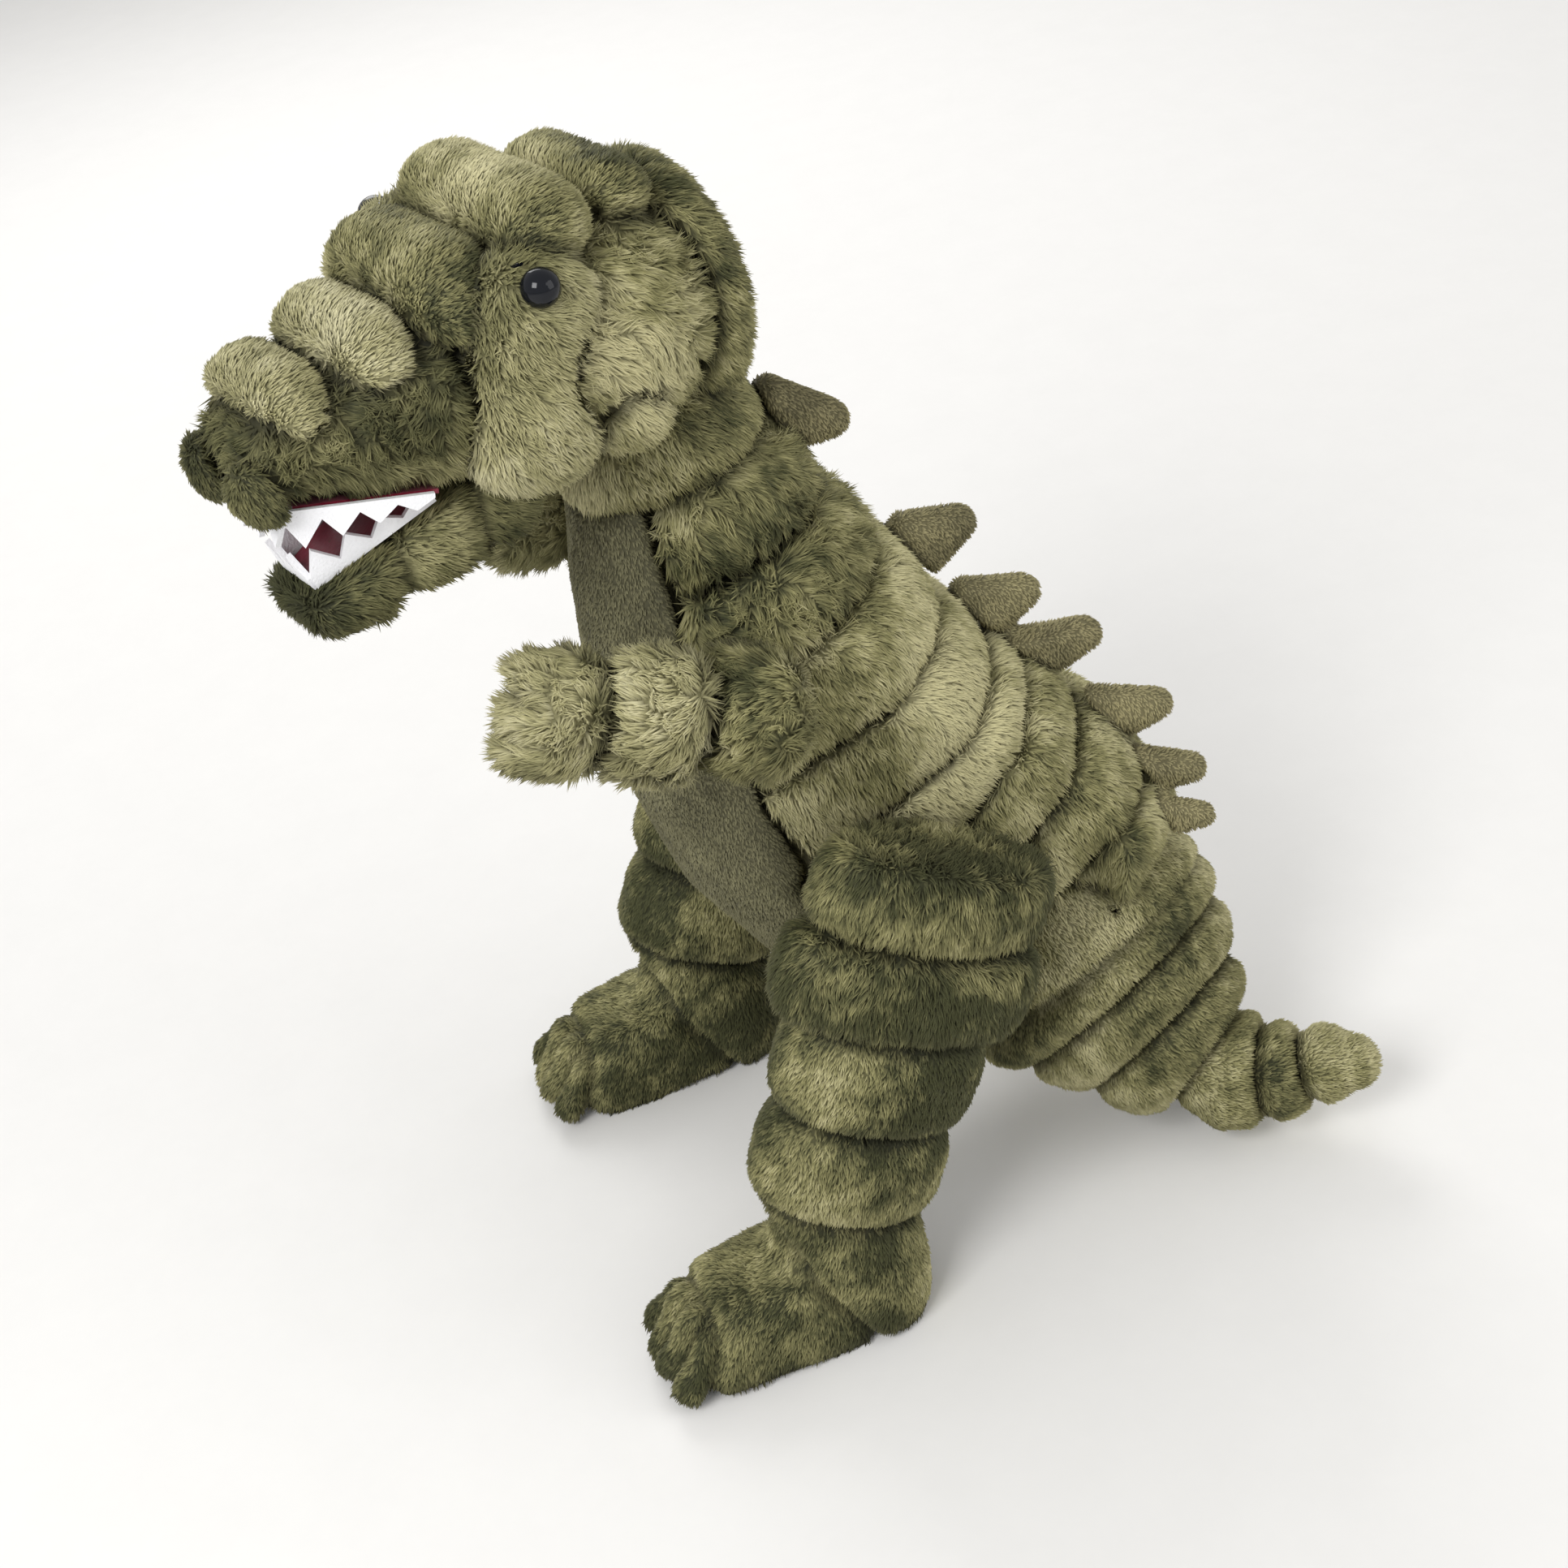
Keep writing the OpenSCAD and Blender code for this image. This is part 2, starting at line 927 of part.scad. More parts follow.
module shin_band_upper(side) {
    color("olivedrab")
        at_hip(side)
            limb_band(leg_seams[2], leg_seams[3], leg_half_w, shin_half_l);
}

module shin_band_lower(side) {
    color("darkkhaki")
        at_hip(side)
            limb_band(leg_seams[3], leg_seams[4], leg_half_w, shin_half_l - 2);
}

// A foot with a flat sole on the ground and three rounded toes.
module foot(side) {
    x = side * hip_at[0];
    color("olive")
        difference() {
            union() {
                hull() {
                    at_hip(side)
                        oval_disc(leg_seams[4] + seam_inset, leg_half_w - bulge, shin_half_l - 2 - bulge);
                    translate([x, heel_y, 0])
                        cylinder(r = heel_r - 2, h = 1);
                    translate([x, heel_y, 10])
                        cylinder(r = heel_r - 0.1, h = 10);
                }
                hull() {
                    translate([x, heel_y, 0])
                        cylinder(r = heel_r - 3, h = instep_h - 14);
                    for (k = [-1, 1])
                        translate([x + k * 6, toe_front_y + 24, 0]) {
                            cylinder(r = leg_half_w - 8, h = 1);
                            translate([0, 0, 14])
                                sphere(r = leg_half_w - 7, $fn = 16);
                        }
                }
                for (k = [-1 : 1])
                    hull() {
                        translate([x + k * toe_spread, toe_front_y + toe_r + 3 * abs(k), toe_r - 1])
                            sphere(r = toe_r, $fn = 16);
                        translate([x + k * toe_spread * 0.8, toe_front_y + 34, toe_r + 4])
                            sphere(r = toe_r, $fn = 16);
                    }
            }
            translate([x, 0, -far_off / 2])
                cube(far_off, center = true);
        }
}

skull_cover();
head_stuffing();
snout_cover();
nostril(1);  // nostril_left
nostril(-1);  // nostril_right
snout_roll_front();
snout_roll_middle();
snout_roll_rear();
brow_roll();
crown_roll();
nape_band();
cheek_band(1);  // cheek_band_left
cheek_band(-1);  // cheek_band_right
jowl_band(1);  // jowl_band_left
jowl_band(-1);  // jowl_band_right
eye(1);  // eye_left
eye(-1);  // eye_right
eye_washer(1);  // eye_washer_left
eye_washer(-1);  // eye_washer_right
palate_lining();
upper_teeth();
jaw_cover();
chin_puff();
mouth_floor_lining();
lower_teeth();
body_band(0);  // body_band_1
body_band(1);  // body_band_2
body_band(2);  // body_band_3
body_band(3);  // body_band_4
body_band(4);  // body_band_5
body_band(5);  // body_band_6
body_band(6);  // body_band_7
body_band(7);  // body_band_8
belly_panel();
body_stuffing();
nape_spike();
back_spikes();
tail_band(0);  // tail_band_1
tail_band(1);  // tail_band_2
tail_band(2);  // tail_band_3
tail_band(3);  // tail_band_4
tail_band(4);  // tail_band_5
tail_band(5);  // tail_band_6
shoulder_puff(1);  // shoulder_puff_left
shoulder_puff(-1);  // shoulder_puff_right
forearm_puff(1);  // forearm_puff_left
forearm_puff(-1);  // forearm_puff_right
hand(1);  // hand_left
hand(-1);  // hand_right
thigh_pad_upper(1);  // thigh_pad_upper_left
thigh_pad_upper(-1);  // thigh_pad_upper_right
thigh_pad_lower(1);  // thigh_pad_lower_left
thigh_pad_lower(-1);  // thigh_pad_lower_right
shin_band_upper(1);  // shin_band_upper_left
shin_band_upper(-1);  // shin_band_upper_right
shin_band_lower(1);  // shin_band_lower_left
shin_band_lower(-1);  // shin_band_lower_right
foot(1);  // foot_left
foot(-1);  // foot_right
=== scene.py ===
"""Plush for a stuffed dinosaur: padded skins, combed pile, felt teeth, satin lining and glossy eyes.

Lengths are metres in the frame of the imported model: +X is the toy's left, -Y its front and +Z up.
"""

import json
import math

import bmesh
import bpy
import numpy as np
from bpy.props import FloatProperty, FloatVectorProperty, IntProperty, PointerProperty
from mathutils import Matrix, Vector
from mathutils.bvhtree import BVHTree


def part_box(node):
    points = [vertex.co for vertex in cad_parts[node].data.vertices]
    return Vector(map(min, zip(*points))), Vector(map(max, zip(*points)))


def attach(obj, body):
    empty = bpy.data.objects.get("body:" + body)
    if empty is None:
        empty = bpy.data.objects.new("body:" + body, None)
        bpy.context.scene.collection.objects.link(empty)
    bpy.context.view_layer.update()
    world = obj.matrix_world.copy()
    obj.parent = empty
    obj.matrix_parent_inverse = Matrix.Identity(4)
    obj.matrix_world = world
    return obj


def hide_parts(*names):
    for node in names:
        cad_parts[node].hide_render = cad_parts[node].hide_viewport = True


bl_info = {
    "name": "Stuffed Dinosaur Plush",
    "version": (1, 0, 0),
    "blender": (4, 5, 0),
    "location": "3D View > Sidebar > Dinosaur",
    "description": "Builds the padded skins, pile and trim of a stuffed dinosaur",
    "category": "Add Mesh",
}

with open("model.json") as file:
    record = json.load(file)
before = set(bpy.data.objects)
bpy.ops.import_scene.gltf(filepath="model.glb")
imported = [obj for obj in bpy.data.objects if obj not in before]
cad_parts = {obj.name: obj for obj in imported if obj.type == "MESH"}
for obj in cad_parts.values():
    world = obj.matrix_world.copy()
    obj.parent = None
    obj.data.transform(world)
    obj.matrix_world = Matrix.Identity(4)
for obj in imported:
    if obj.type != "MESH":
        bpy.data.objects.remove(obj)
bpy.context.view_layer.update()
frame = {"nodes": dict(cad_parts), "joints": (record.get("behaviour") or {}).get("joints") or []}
MM = 0.001

SIDES = ("left", "right")

# Filled as the operators run: every finish by name, and every padded skin in the order it is made.
MATERIALS = {}
SKINS = []

# Soft lumps in a metre of skin.
LUMPS = 55.0
# How far a tuft may stray from its neighbours, and the least that it rises from the skin, as shares.
STRAY = 0.22
LEAST_RISE = 0.32
# Share of a tuft's shading that comes from the skin under it, which keeps the pile soft.
SKIN_SHADING = 0.72
# Middle of the summed noises that colour the pile.
NOISE_MIDDLE = 0.17
# A sole is a face this low that looks down this steeply.
SOLE_HEIGHT = 0.003
SOLE_SLOPE = -0.5


# ---- Sizes and colours ----


class PadSettings(bpy.types.PropertyGroup):
    voxel: FloatProperty(
        name="Voxel", description="Grid that a padded skin is rebuilt on", default=0.0028, unit="LENGTH"
    )
    smoothing: IntProperty(name="Smoothing", description="Rounds of smoothing before the pile", default=6)
    lump: FloatProperty(
        name="Lump", description="Height of the soft lumps of the stuffing", default=0.0016, unit="LENGTH"
    )


class PileSettings(bpy.types.PropertyGroup):
    fluff: FloatProperty(
        name="Fluff", description="Length of the pile on the skull, snout, neck and arms",
        default=0.0050, unit="LENGTH",
    )
    plush: FloatProperty(
        name="Plush", description="Length of the pile on the back, cheeks, jaw and thighs",
        default=0.0036, unit="LENGTH",
    )
    velour: FloatProperty(
        name="Velour", description="Length of the pile on the rolls, nostrils, legs and tail",
        default=0.0022, unit="LENGTH",
    )
    nap: FloatProperty(
        name="Nap", description="Length of the nap of the spikes and the front panel",
        default=0.0014, unit="LENGTH",
    )
    width: FloatProperty(
        name="Tuft width", description="Half of a tuft's width at its root", default=0.00045, unit="LENGTH"
    )


def colour(name, description, default):
    return FloatVectorProperty(
        name=name, description=description, subtype="COLOR", size=3, min=0, max=1, default=default
    )


class ColourSettings(bpy.types.PropertyGroup):
    shadow: colour("Shadow", "Darkest green of the mottled pile", (0.064, 0.067, 0.026))
    olive: colour("Olive", "Middle olive of the mottled pile", (0.31, 0.29, 0.128))
    straw: colour("Straw", "Palest straw of the mottled pile", (0.62, 0.575, 0.32))
    belly: colour("Belly", "Smooth cloth of the belly", (0.165, 0.155, 0.085))
    spike: colour("Spike", "Velour of the back spikes", (0.23, 0.205, 0.105))
    felt: colour("Felt", "Felt of the teeth", (0.82, 0.82, 0.84))
    lining: colour("Lining", "Lining of the mouth", (0.16, 0.004, 0.020))
    eye: colour("Eye", "Plastic of the eyes", (0.004, 0.005, 0.008))
    floor: colour("Floor", "Studio floor", (0.82, 0.81, 0.79))


class StageSettings(bpy.types.PropertyGroup):
    azimuth: FloatProperty(
        name="Azimuth", description="Angle of the camera about the toy", default=math.radians(78),
        unit="ROTATION",
    )
    elevation: FloatProperty(
        name="Elevation", description="Angle of the camera above level", default=math.radians(33),
        unit="ROTATION",
    )
    roll: FloatProperty(
        name="Roll", description="Tilt of the camera about its own axis", default=math.radians(-12),
        unit="ROTATION",
    )
    distance: FloatProperty(
        name="Distance", description="Camera to the middle of the toy", default=0.7769, unit="LENGTH"
    )
    lens: FloatProperty(name="Lens", description="Focal length in millimetres", default=60)
    aim: FloatVectorProperty(
        name="Aim", description="Point that the camera looks at", size=3, default=(0, -0.0035, 0.1392),
        unit="LENGTH",
    )


def settings(kind):
    """One group of the scene's settings."""
    return getattr(bpy.context.scene, "dinosaur_" + kind)


# ---- Mesh helpers ----


def new_object(name, bm):
    """Links a bmesh as an object of its own, with its faces pointing outwards."""
    bmesh.ops.recalc_face_normals(bm, faces=bm.faces)
    mesh = bpy.data.meshes.new(name)
    bm.to_mesh(mesh)
    bm.free()
    obj = bpy.data.objects.new(name, mesh)
    bpy.context.scene.collection.objects.link(obj)
    return obj


def apply_modifiers(obj):
    """Keeps what the modifiers make as the object's own mesh."""
    graph = bpy.context.evaluated_depsgraph_get()
    mesh = bpy.data.meshes.new_from_object(obj.evaluated_get(graph), depsgraph=graph)
    obj.modifiers.clear()
    obj.data = mesh
    mesh.polygons.foreach_set("use_smooth", np.ones(len(mesh.polygons), bool))
    mesh.polygons.foreach_set("material_index", np.zeros(len(mesh.polygons), np.int32))


def node_centre(node):
    """The middle of a node's box at rest."""
    low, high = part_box(node)
    return (low + high) / 2


def vertex_places(obj):
    places = np.empty(len(obj.data.vertices) * 3, np.float32)
    obj.data.vertices.foreach_get("co", places)
    return places.reshape(-1, 3)


def vertex_normals(obj):
    normals = np.empty(len(obj.data.vertices) * 3, np.float32)
    obj.data.vertex_normals.foreach_get("vector", normals)
    return normals.reshape(-1, 3)


# ---- Node groups ----


def node_group(name, sockets):
    """A geometry node group with a geometry in and out and the given number inputs."""
    group = bpy.data.node_groups.new(name, "GeometryNodeTree")
    group.interface.new_socket("Geometry", in_out="INPUT", socket_type="NodeSocketGeometry")
    for socket, kind in sockets:
        group.interface.new_socket(socket, in_out="INPUT", socket_type="NodeSocket" + kind)
    group.interface.new_socket("Geometry", in_out="OUTPUT", socket_type="NodeSocketGeometry")
    return group


def adder(tree):
    """Returns a function that adds a node, sets its properties and links or sets its inputs."""

    def add(kind, inputs=(), **properties):
        node = tree.nodes.new(kind)
        for key, value in properties.items():
            setattr(node, key, value)
        for key, value in dict(inputs).items():
            if isinstance(value, bpy.types.NodeSocket):
                tree.links.new(value, node.inputs[key])
            else:
                node.inputs[key].default_value = value
        return node

    return add


def lump_group():
    """Pushes a skin in and out by soft noise, as uneven stuffing does."""
    group = node_group("soft_lumps", [("Height", "Float"), ("Scale", "Float")])
    add = adder(group)
    source = add("NodeGroupInput")
    noise = add("ShaderNodeTexNoise", {"Scale": source.outputs["Scale"], "Detail": 2.0})
    centred = add("ShaderNodeMath", {0: noise.outputs["Fac"], 1: 0.5}, operation="SUBTRACT")
    height = add("ShaderNodeMath", {0: centred.outputs[0], 1: source.outputs["Height"]}, operation="MULTIPLY")
    normal = add("GeometryNodeInputNormal")
    offset = add(
        "ShaderNodeVectorMath", {0: normal.outputs[0], "Scale": height.outputs[0]}, operation="SCALE"
    )
    moved = add(
        "GeometryNodeSetPosition", {"Geometry": source.outputs["Geometry"], "Offset": offset.outputs[0]}
    )
    add("NodeGroupOutput", {"Geometry": moved.outputs[0]})
    return group


def pile_group():
    """Plants closed three-sided tufts on a skin, combed one way with swirls."""
    sockets = [
        ("Density", "Float"), ("Length", "Float"), ("Width", "Float"), ("Lift", "Float"),
        ("Comb", "Vector"), ("Swirl", "Float"), ("Swirl Scale", "Float"), ("Clump", "Float"),
        ("Lock", "Float"), ("Seed", "Int"),
    ]
    group = node_group("combed_pile", sockets)
    add = adder(group)
    source = add("NodeGroupInput")
    mask = add("GeometryNodeInputNamedAttribute", {"Name": "pile_mask"}, data_type="FLOAT")
    density = add(
        "ShaderNodeMath", {0: source.outputs["Density"], 1: mask.outputs["Attribute"]}, operation="MULTIPLY"
    )
    planted = add(
        "GeometryNodeDistributePointsOnFaces",
        {"Mesh": source.outputs["Geometry"], "Density": density.outputs[0], "Seed": source.outputs["Seed"]},
    )
    noise = add("ShaderNodeTexNoise", {"Scale": source.outputs["Swirl Scale"], "Detail": 1.5})
    centred = add(
        "ShaderNodeVectorMath", {0: noise.outputs["Color"], 1: (0.5, 0.5, 0.5)}, operation="SUBTRACT"
    )
    swirl = add(
        "ShaderNodeVectorMath", {0: centred.outputs[0], "Scale": source.outputs["Swirl"]}, operation="SCALE"
    )
    fine = add(
        "FunctionNodeRandomValue", {0: (-STRAY,) * 3, 1: (STRAY,) * 3, "Seed": 3}, data_type="FLOAT_VECTOR"
    )
    lift = add(
        "ShaderNodeVectorMath", {0: planted.outputs["Normal"], "Scale": source.outputs["Lift"]},
        operation="SCALE",
    )
    combed = add("ShaderNodeVectorMath", {0: lift.outputs[0], 1: source.outputs["Comb"]}, operation="ADD")
    place = add("GeometryNodeInputPosition")
    locks = add("ShaderNodeTexVoronoi", {"Scale": source.outputs["Lock"]})
    inwards = add(
        "ShaderNodeVectorMath", {0: locks.outputs["Position"], 1: place.outputs[0]}, operation="SUBTRACT"
    )
    pull = add(
        "ShaderNodeMath", {0: source.outputs["Clump"], 1: source.outputs["Lock"]}, operation="MULTIPLY"
    )
    clump = add("ShaderNodeVectorMath", {0: inwards.outputs[0], "Scale": pull.outputs[0]}, operation="SCALE")
    locked = add("ShaderNodeVectorMath", {0: combed.outputs[0], 1: clump.outputs[0]}, operation="ADD")
    swirled = add("ShaderNodeVectorMath", {0: locked.outputs[0], 1: swirl.outputs[0]}, operation="ADD")
    loose = add("ShaderNodeVectorMath", {0: swirled.outputs[0], 1: fine.outputs[0]}, operation="ADD")
    # A tuft never points into the skin.
    depth = add(
        "ShaderNodeVectorMath", {0: loose.outputs[0], 1: planted.outputs["Normal"]}, operation="DOT_PRODUCT"
    )
    lack = add("ShaderNodeMath", {0: LEAST_RISE, 1: depth.outputs["Value"]}, operation="SUBTRACT")
    push = add("ShaderNodeMath", {0: lack.outputs[0], 1: 0.0}, operation="MAXIMUM")
    raised = add(
        "ShaderNodeVectorMath", {0: planted.outputs["Normal"], "Scale": push.outputs[0]}, operation="SCALE"
    )
    aimed = add("ShaderNodeVectorMath", {0: loose.outputs[0], 1: raised.outputs[0]}, operation="ADD")
    turned = add("FunctionNodeAlignRotationToVector", {"Vector": aimed.outputs[0]}, axis="Z")
    cone = add(
        "GeometryNodeMeshCone",
        {
            "Vertices": 3, "Side Segments": 1, "Fill Segments": 1, "Radius Top": 0.0,
            "Radius Bottom": source.outputs["Width"], "Depth": source.outputs["Length"],
        },
    )
    # The share up each tuft from root to tip, which the pile material turns into painted shade at the roots.
    split = add("ShaderNodeSeparateXYZ", {0: place.outputs[0]})
    share = add("ShaderNodeMath", {0: split.outputs["Z"], 1: source.outputs["Length"]}, operation="DIVIDE")
    tuft = add(
        "GeometryNodeStoreNamedAttribute",
        {"Geometry": cone.outputs["Mesh"], "Name": "tip", "Value": share.outputs[0]}, domain="POINT",
    )
    size = add(
        "FunctionNodeRandomValue", {0: (0.75, 0.75, 0.75), 1: (1.2, 1.2, 1.15), "Seed": 5},
        data_type="FLOAT_VECTOR",
    )
    grown = add(
        "GeometryNodeInstanceOnPoints",
        {
            "Points": planted.outputs["Points"], "Instance": tuft.outputs[0],
            "Rotation": turned.outputs[0], "Scale": size.outputs[0],
        },
    )
    shade = add("FunctionNodeRandomValue", {2: 0.0, 3: 1.0, "Seed": 7}, data_type="FLOAT")
    shaded = add(
        "GeometryNodeStoreNamedAttribute",
        {"Geometry": grown.outputs[0], "Name": "shade", "Value": shade.outputs[1]},
        domain="INSTANCE",
    )
    # Each tuft carries how open its skin is, from which the pile material paints shade into the seams.
    painted_crease_shade = add("GeometryNodeInputNamedAttribute", {"Name": "open"}, data_type="FLOAT")
    crease_shade_kept = add(
        "GeometryNodeStoreNamedAttribute",
        {"Geometry": shaded.outputs[0], "Name": "open", "Value": painted_crease_shade.outputs["Attribute"]},
        domain="INSTANCE",
    )
    # Each tuft carries its pad's tone, with painted shade on the far right side.
    pad_tone_and_shade = add("GeometryNodeInputNamedAttribute", {"Name": "tone"}, data_type="FLOAT")
    toned_and_shaded = add(
        "GeometryNodeStoreNamedAttribute",
        {"Geometry": crease_shade_kept.outputs[0], "Name": "tone", "Value": pad_tone_and_shade.outputs["Attribute"]},
        domain="INSTANCE",
    )
    real = add("GeometryNodeRealizeInstances", {"Geometry": toned_and_shaded.outputs[0]})
    joined = add("GeometryNodeJoinGeometry")
    group.links.new(real.outputs[0], joined.inputs[0])
    group.links.new(source.outputs["Geometry"], joined.inputs[0])
    # A tuft is shaded partly as itself and mostly as the skin under it.
    skin_normal = add("GeometryNodeInputNormal")
    under = add(
        "GeometryNodeSampleNearestSurface",
        {"Mesh": source.outputs["Geometry"], "Value": skin_normal.outputs[0]}, data_type="FLOAT_VECTOR",
    )
    own = add("GeometryNodeInputNormal")
    blend = add(
        "ShaderNodeMix", {0: SKIN_SHADING, 4: own.outputs[0], 5: under.outputs[0]}, data_type="VECTOR"
    )
    soft = add("GeometryNodeSetMeshNormal", mode="FREE", domain="POINT")
    group.links.new(joined.outputs[0], soft.inputs["Mesh"])
    group.links.new(blend.outputs[1], soft.inputs["Custom Normal"])
    add("NodeGroupOutput", {"Geometry": soft.outputs[0]})
    return group


def use_group(obj, group, **values):
    """Adds a node group to an object as a modifier, with its inputs set by name."""
    modifier = obj.modifiers.new(group.name, "NODES")
    modifier.node_group = group
    names = {s.name: s.identifier for s in group.interface.items_tree if s.in_out == "INPUT"}
    for key, value in values.items():
        modifier[names[key.replace("_", " ")]] = value


# ---- Materials ----


def shader(name):
    """A new material with its Principled shader and a node adder."""
    material = bpy.data.materials.new(name)
    material.use_nodes = True
    tree = material.node_tree
    return material, tree.nodes["Principled BSDF"], adder(tree), tree


def pile_material(name, shadow, olive, straw, low=0.37, high=0.68, patch=19.0, streak=170.0):
    """Mottled pile: dark and pale patches and streaks, with painted shade that darkens the roots, the bare
    skin between tufts and the seams, and slightly paler tips.
    """
    material, principled, add, tree = shader(name)
    place = add("ShaderNodeTexCoord")
    patches = add(
        "ShaderNodeTexNoise",
        {"Vector": place.outputs["Object"], "Scale": patch, "Detail": 3.0, "Roughness": 0.6},
    )
    streaks = add("ShaderNodeTexNoise", {"Vector": place.outputs["Object"], "Scale": streak, "Detail": 2.0})
    shade = add("ShaderNodeAttribute", attribute_name="shade")
    tip = add("ShaderNodeAttribute", attribute_name="tip")
    mixed = add(
        "ShaderNodeMath", {0: streaks.outputs["Fac"], 1: 0.3, 2: patches.outputs["Fac"]},
        operation="MULTIPLY_ADD",
    )
    own = add(
        "ShaderNodeMath", {0: shade.outputs["Fac"], 1: 0.10, 2: mixed.outputs[0]}, operation="MULTIPLY_ADD"
    )
    # The pad's own tone and the painted shade of the far right side move the colour along the ramp.
    tone = add("ShaderNodeAttribute", attribute_name="tone")
    toned_and_shaded = add("ShaderNodeMath", {0: own.outputs[0], 1: tone.outputs["Fac"]}, operation="ADD")
    ramp = add("ShaderNodeValToRGB", {"Fac": toned_and_shaded.outputs[0]})
    stops = ramp.color_ramp.elements
    stops[0].position, stops[0].color = low + NOISE_MIDDLE, (*shadow, 1)
    stops[1].position, stops[1].color = high + NOISE_MIDDLE, (*straw, 1)
    middle = stops.new((low + high) / 2 + NOISE_MIDDLE)
    middle.color = (*olive, 1)
    # Painted shade: the roots and the bare skin between tufts are darkened to half, rising to a tenth paler
    # than the ramp at the tips.
    depth = add(
        "ShaderNodeMapRange",
        {"Value": tip.outputs["Fac"], "From Min": 0.0, "From Max": 0.8, "To Min": 0.5, "To Max": 1.1},
    )
    # Painted shade in the seams and sewn creases: the colour falls to three tenths where the skin is least
    # open.
    painted_crease_shade = add("ShaderNodeAttribute", attribute_name="open")
    clear = add(
        "ShaderNodeMapRange",
        {"Value": painted_crease_shade.outputs["Fac"], "From Min": 0.0, "From Max": 0.7, "To Min": 0.3, "To Max": 1.0},
    )
    # The painted shade of the roots and that of the seams, multiplied together.
    light = add(
        "ShaderNodeMath", {0: depth.outputs["Result"], 1: clear.outputs["Result"]}, operation="MULTIPLY"
    )
    tinted = add(
        "ShaderNodeVectorMath", {0: ramp.outputs["Color"], "Scale": light.outputs[0]}, operation="SCALE"
    )
    tree.links.new(tinted.outputs[0], principled.inputs["Base Color"])
    principled.inputs["Roughness"].default_value = 0.72
    principled.inputs["Sheen Weight"].default_value = 0.15
    principled.inputs["Sheen Roughness"].default_value = 0.5
    principled.inputs["Sheen Tint"].default_value = (*straw, 1)
    principled.inputs["Specular IOR Level"].default_value = 0.25
    return material


def cloth_material(name, base, scale, depth, roughness, variation=0.25, sheen=0.3, specular=0.3):
    """Felt, satin or paper: fine fibre bump with slow colour variation."""
    material, principled, add, tree = shader(name)
    place = add("ShaderNodeTexCoord")
    fibre = add("ShaderNodeTexNoise", {"Vector": place.outputs["Object"], "Scale": scale, "Detail": 4.0})
    slow = add("ShaderNodeTexNoise", {"Vector": place.outputs["Object"], "Scale": 40.0, "Detail": 2.0})
    summed = add(
        "ShaderNodeMath", {0: fibre.outputs["Fac"], 1: 0.5, 2: slow.outputs["Fac"]}, operation="MULTIPLY_ADD"
    )
    ramp = add("ShaderNodeValToRGB", {"Fac": summed.outputs[0]})
    stops = ramp.color_ramp.elements
    stops[0].position, stops[0].color = 0.45, (*[c * (1 - variation) for c in base], 1)
    stops[1].position, stops[1].color = 1.0, (*[min(1, c * (1 + variation)) for c in base], 1)
    tree.links.new(ramp.outputs["Color"], principled.inputs["Base Color"])
    bump = add("ShaderNodeBump", {"Height": fibre.outputs["Fac"], "Strength": 0.6, "Distance": depth})
    tree.links.new(bump.outputs[0], principled.inputs["Normal"])
    principled.inputs["Roughness"].default_value = roughness
    principled.inputs["Sheen Weight"].default_value = sheen
    principled.inputs["Specular IOR Level"].default_value = specular
    return material


def velour_material(name, base, middle, high):
    """Short velour round one colour, from four fifths of it up to high times it."""
    return pile_material(name, *([v * share for v in base] for share in (0.8, middle, high)))


def eye_material(name, base):
    """Glossy moulded plastic with faint wear."""
    material, principled, add, tree = shader(name)
    place = add("ShaderNodeTexCoord")
    wear = add("ShaderNodeTexNoise", {"Vector": place.outputs["Object"], "Scale": 300.0})
    gloss = add("ShaderNodeMapRange", {"Value": wear.outputs["Fac"], "To Min": 0.05, "To Max": 0.12})
    tree.links.new(gloss.outputs["Result"], principled.inputs["Roughness"])
    principled.inputs["Base Color"].default_value = (*base, 1)
    principled.inputs["Specular IOR Level"].default_value = 0.3
    return material


def mixed(a, b, share):
    """A colour that share of the way from one to another."""
    return [x + (y - x) * share for x, y in zip(a, b)]


def make_materials():
    """Every finish of the toy, by name."""
    c = settings("colours")
    dark, mid, pale = list(c.shadow), list(c.olive), list(c.straw)
    return {
        "mottled": pile_material("mottled_pile", dark, mid, pale),
        "pale": pile_material(
            "pale_pile", mixed(dark, mid, 0.6), mixed(mid, pale, 0.45), mixed(pale, (1, 0.97, 0.8), 0.12)
        ),
        "dark": pile_material(
            "dark_pile", mixed(dark, (0, 0, 0), 0.2), mixed(dark, mid, 0.55), mixed(mid, pale, 0.35)
        ),
        "belly": velour_material("belly_velour", c.belly, 1.15, 1.6),
        "spike": velour_material("spike_velour", c.spike, 1.3, 1.8),
        "felt": cloth_material("tooth_felt", list(c.felt), 1500.0, 0.0004, 0.9, variation=0.06),
        "lining": cloth_material("mouth_satin", list(c.lining), 700.0, 0.0002, 0.35, sheen=0.1, specular=0.5),
        "eye": eye_material("eye_plastic", list(c.eye)),
    }


# ---- Padded skins ----


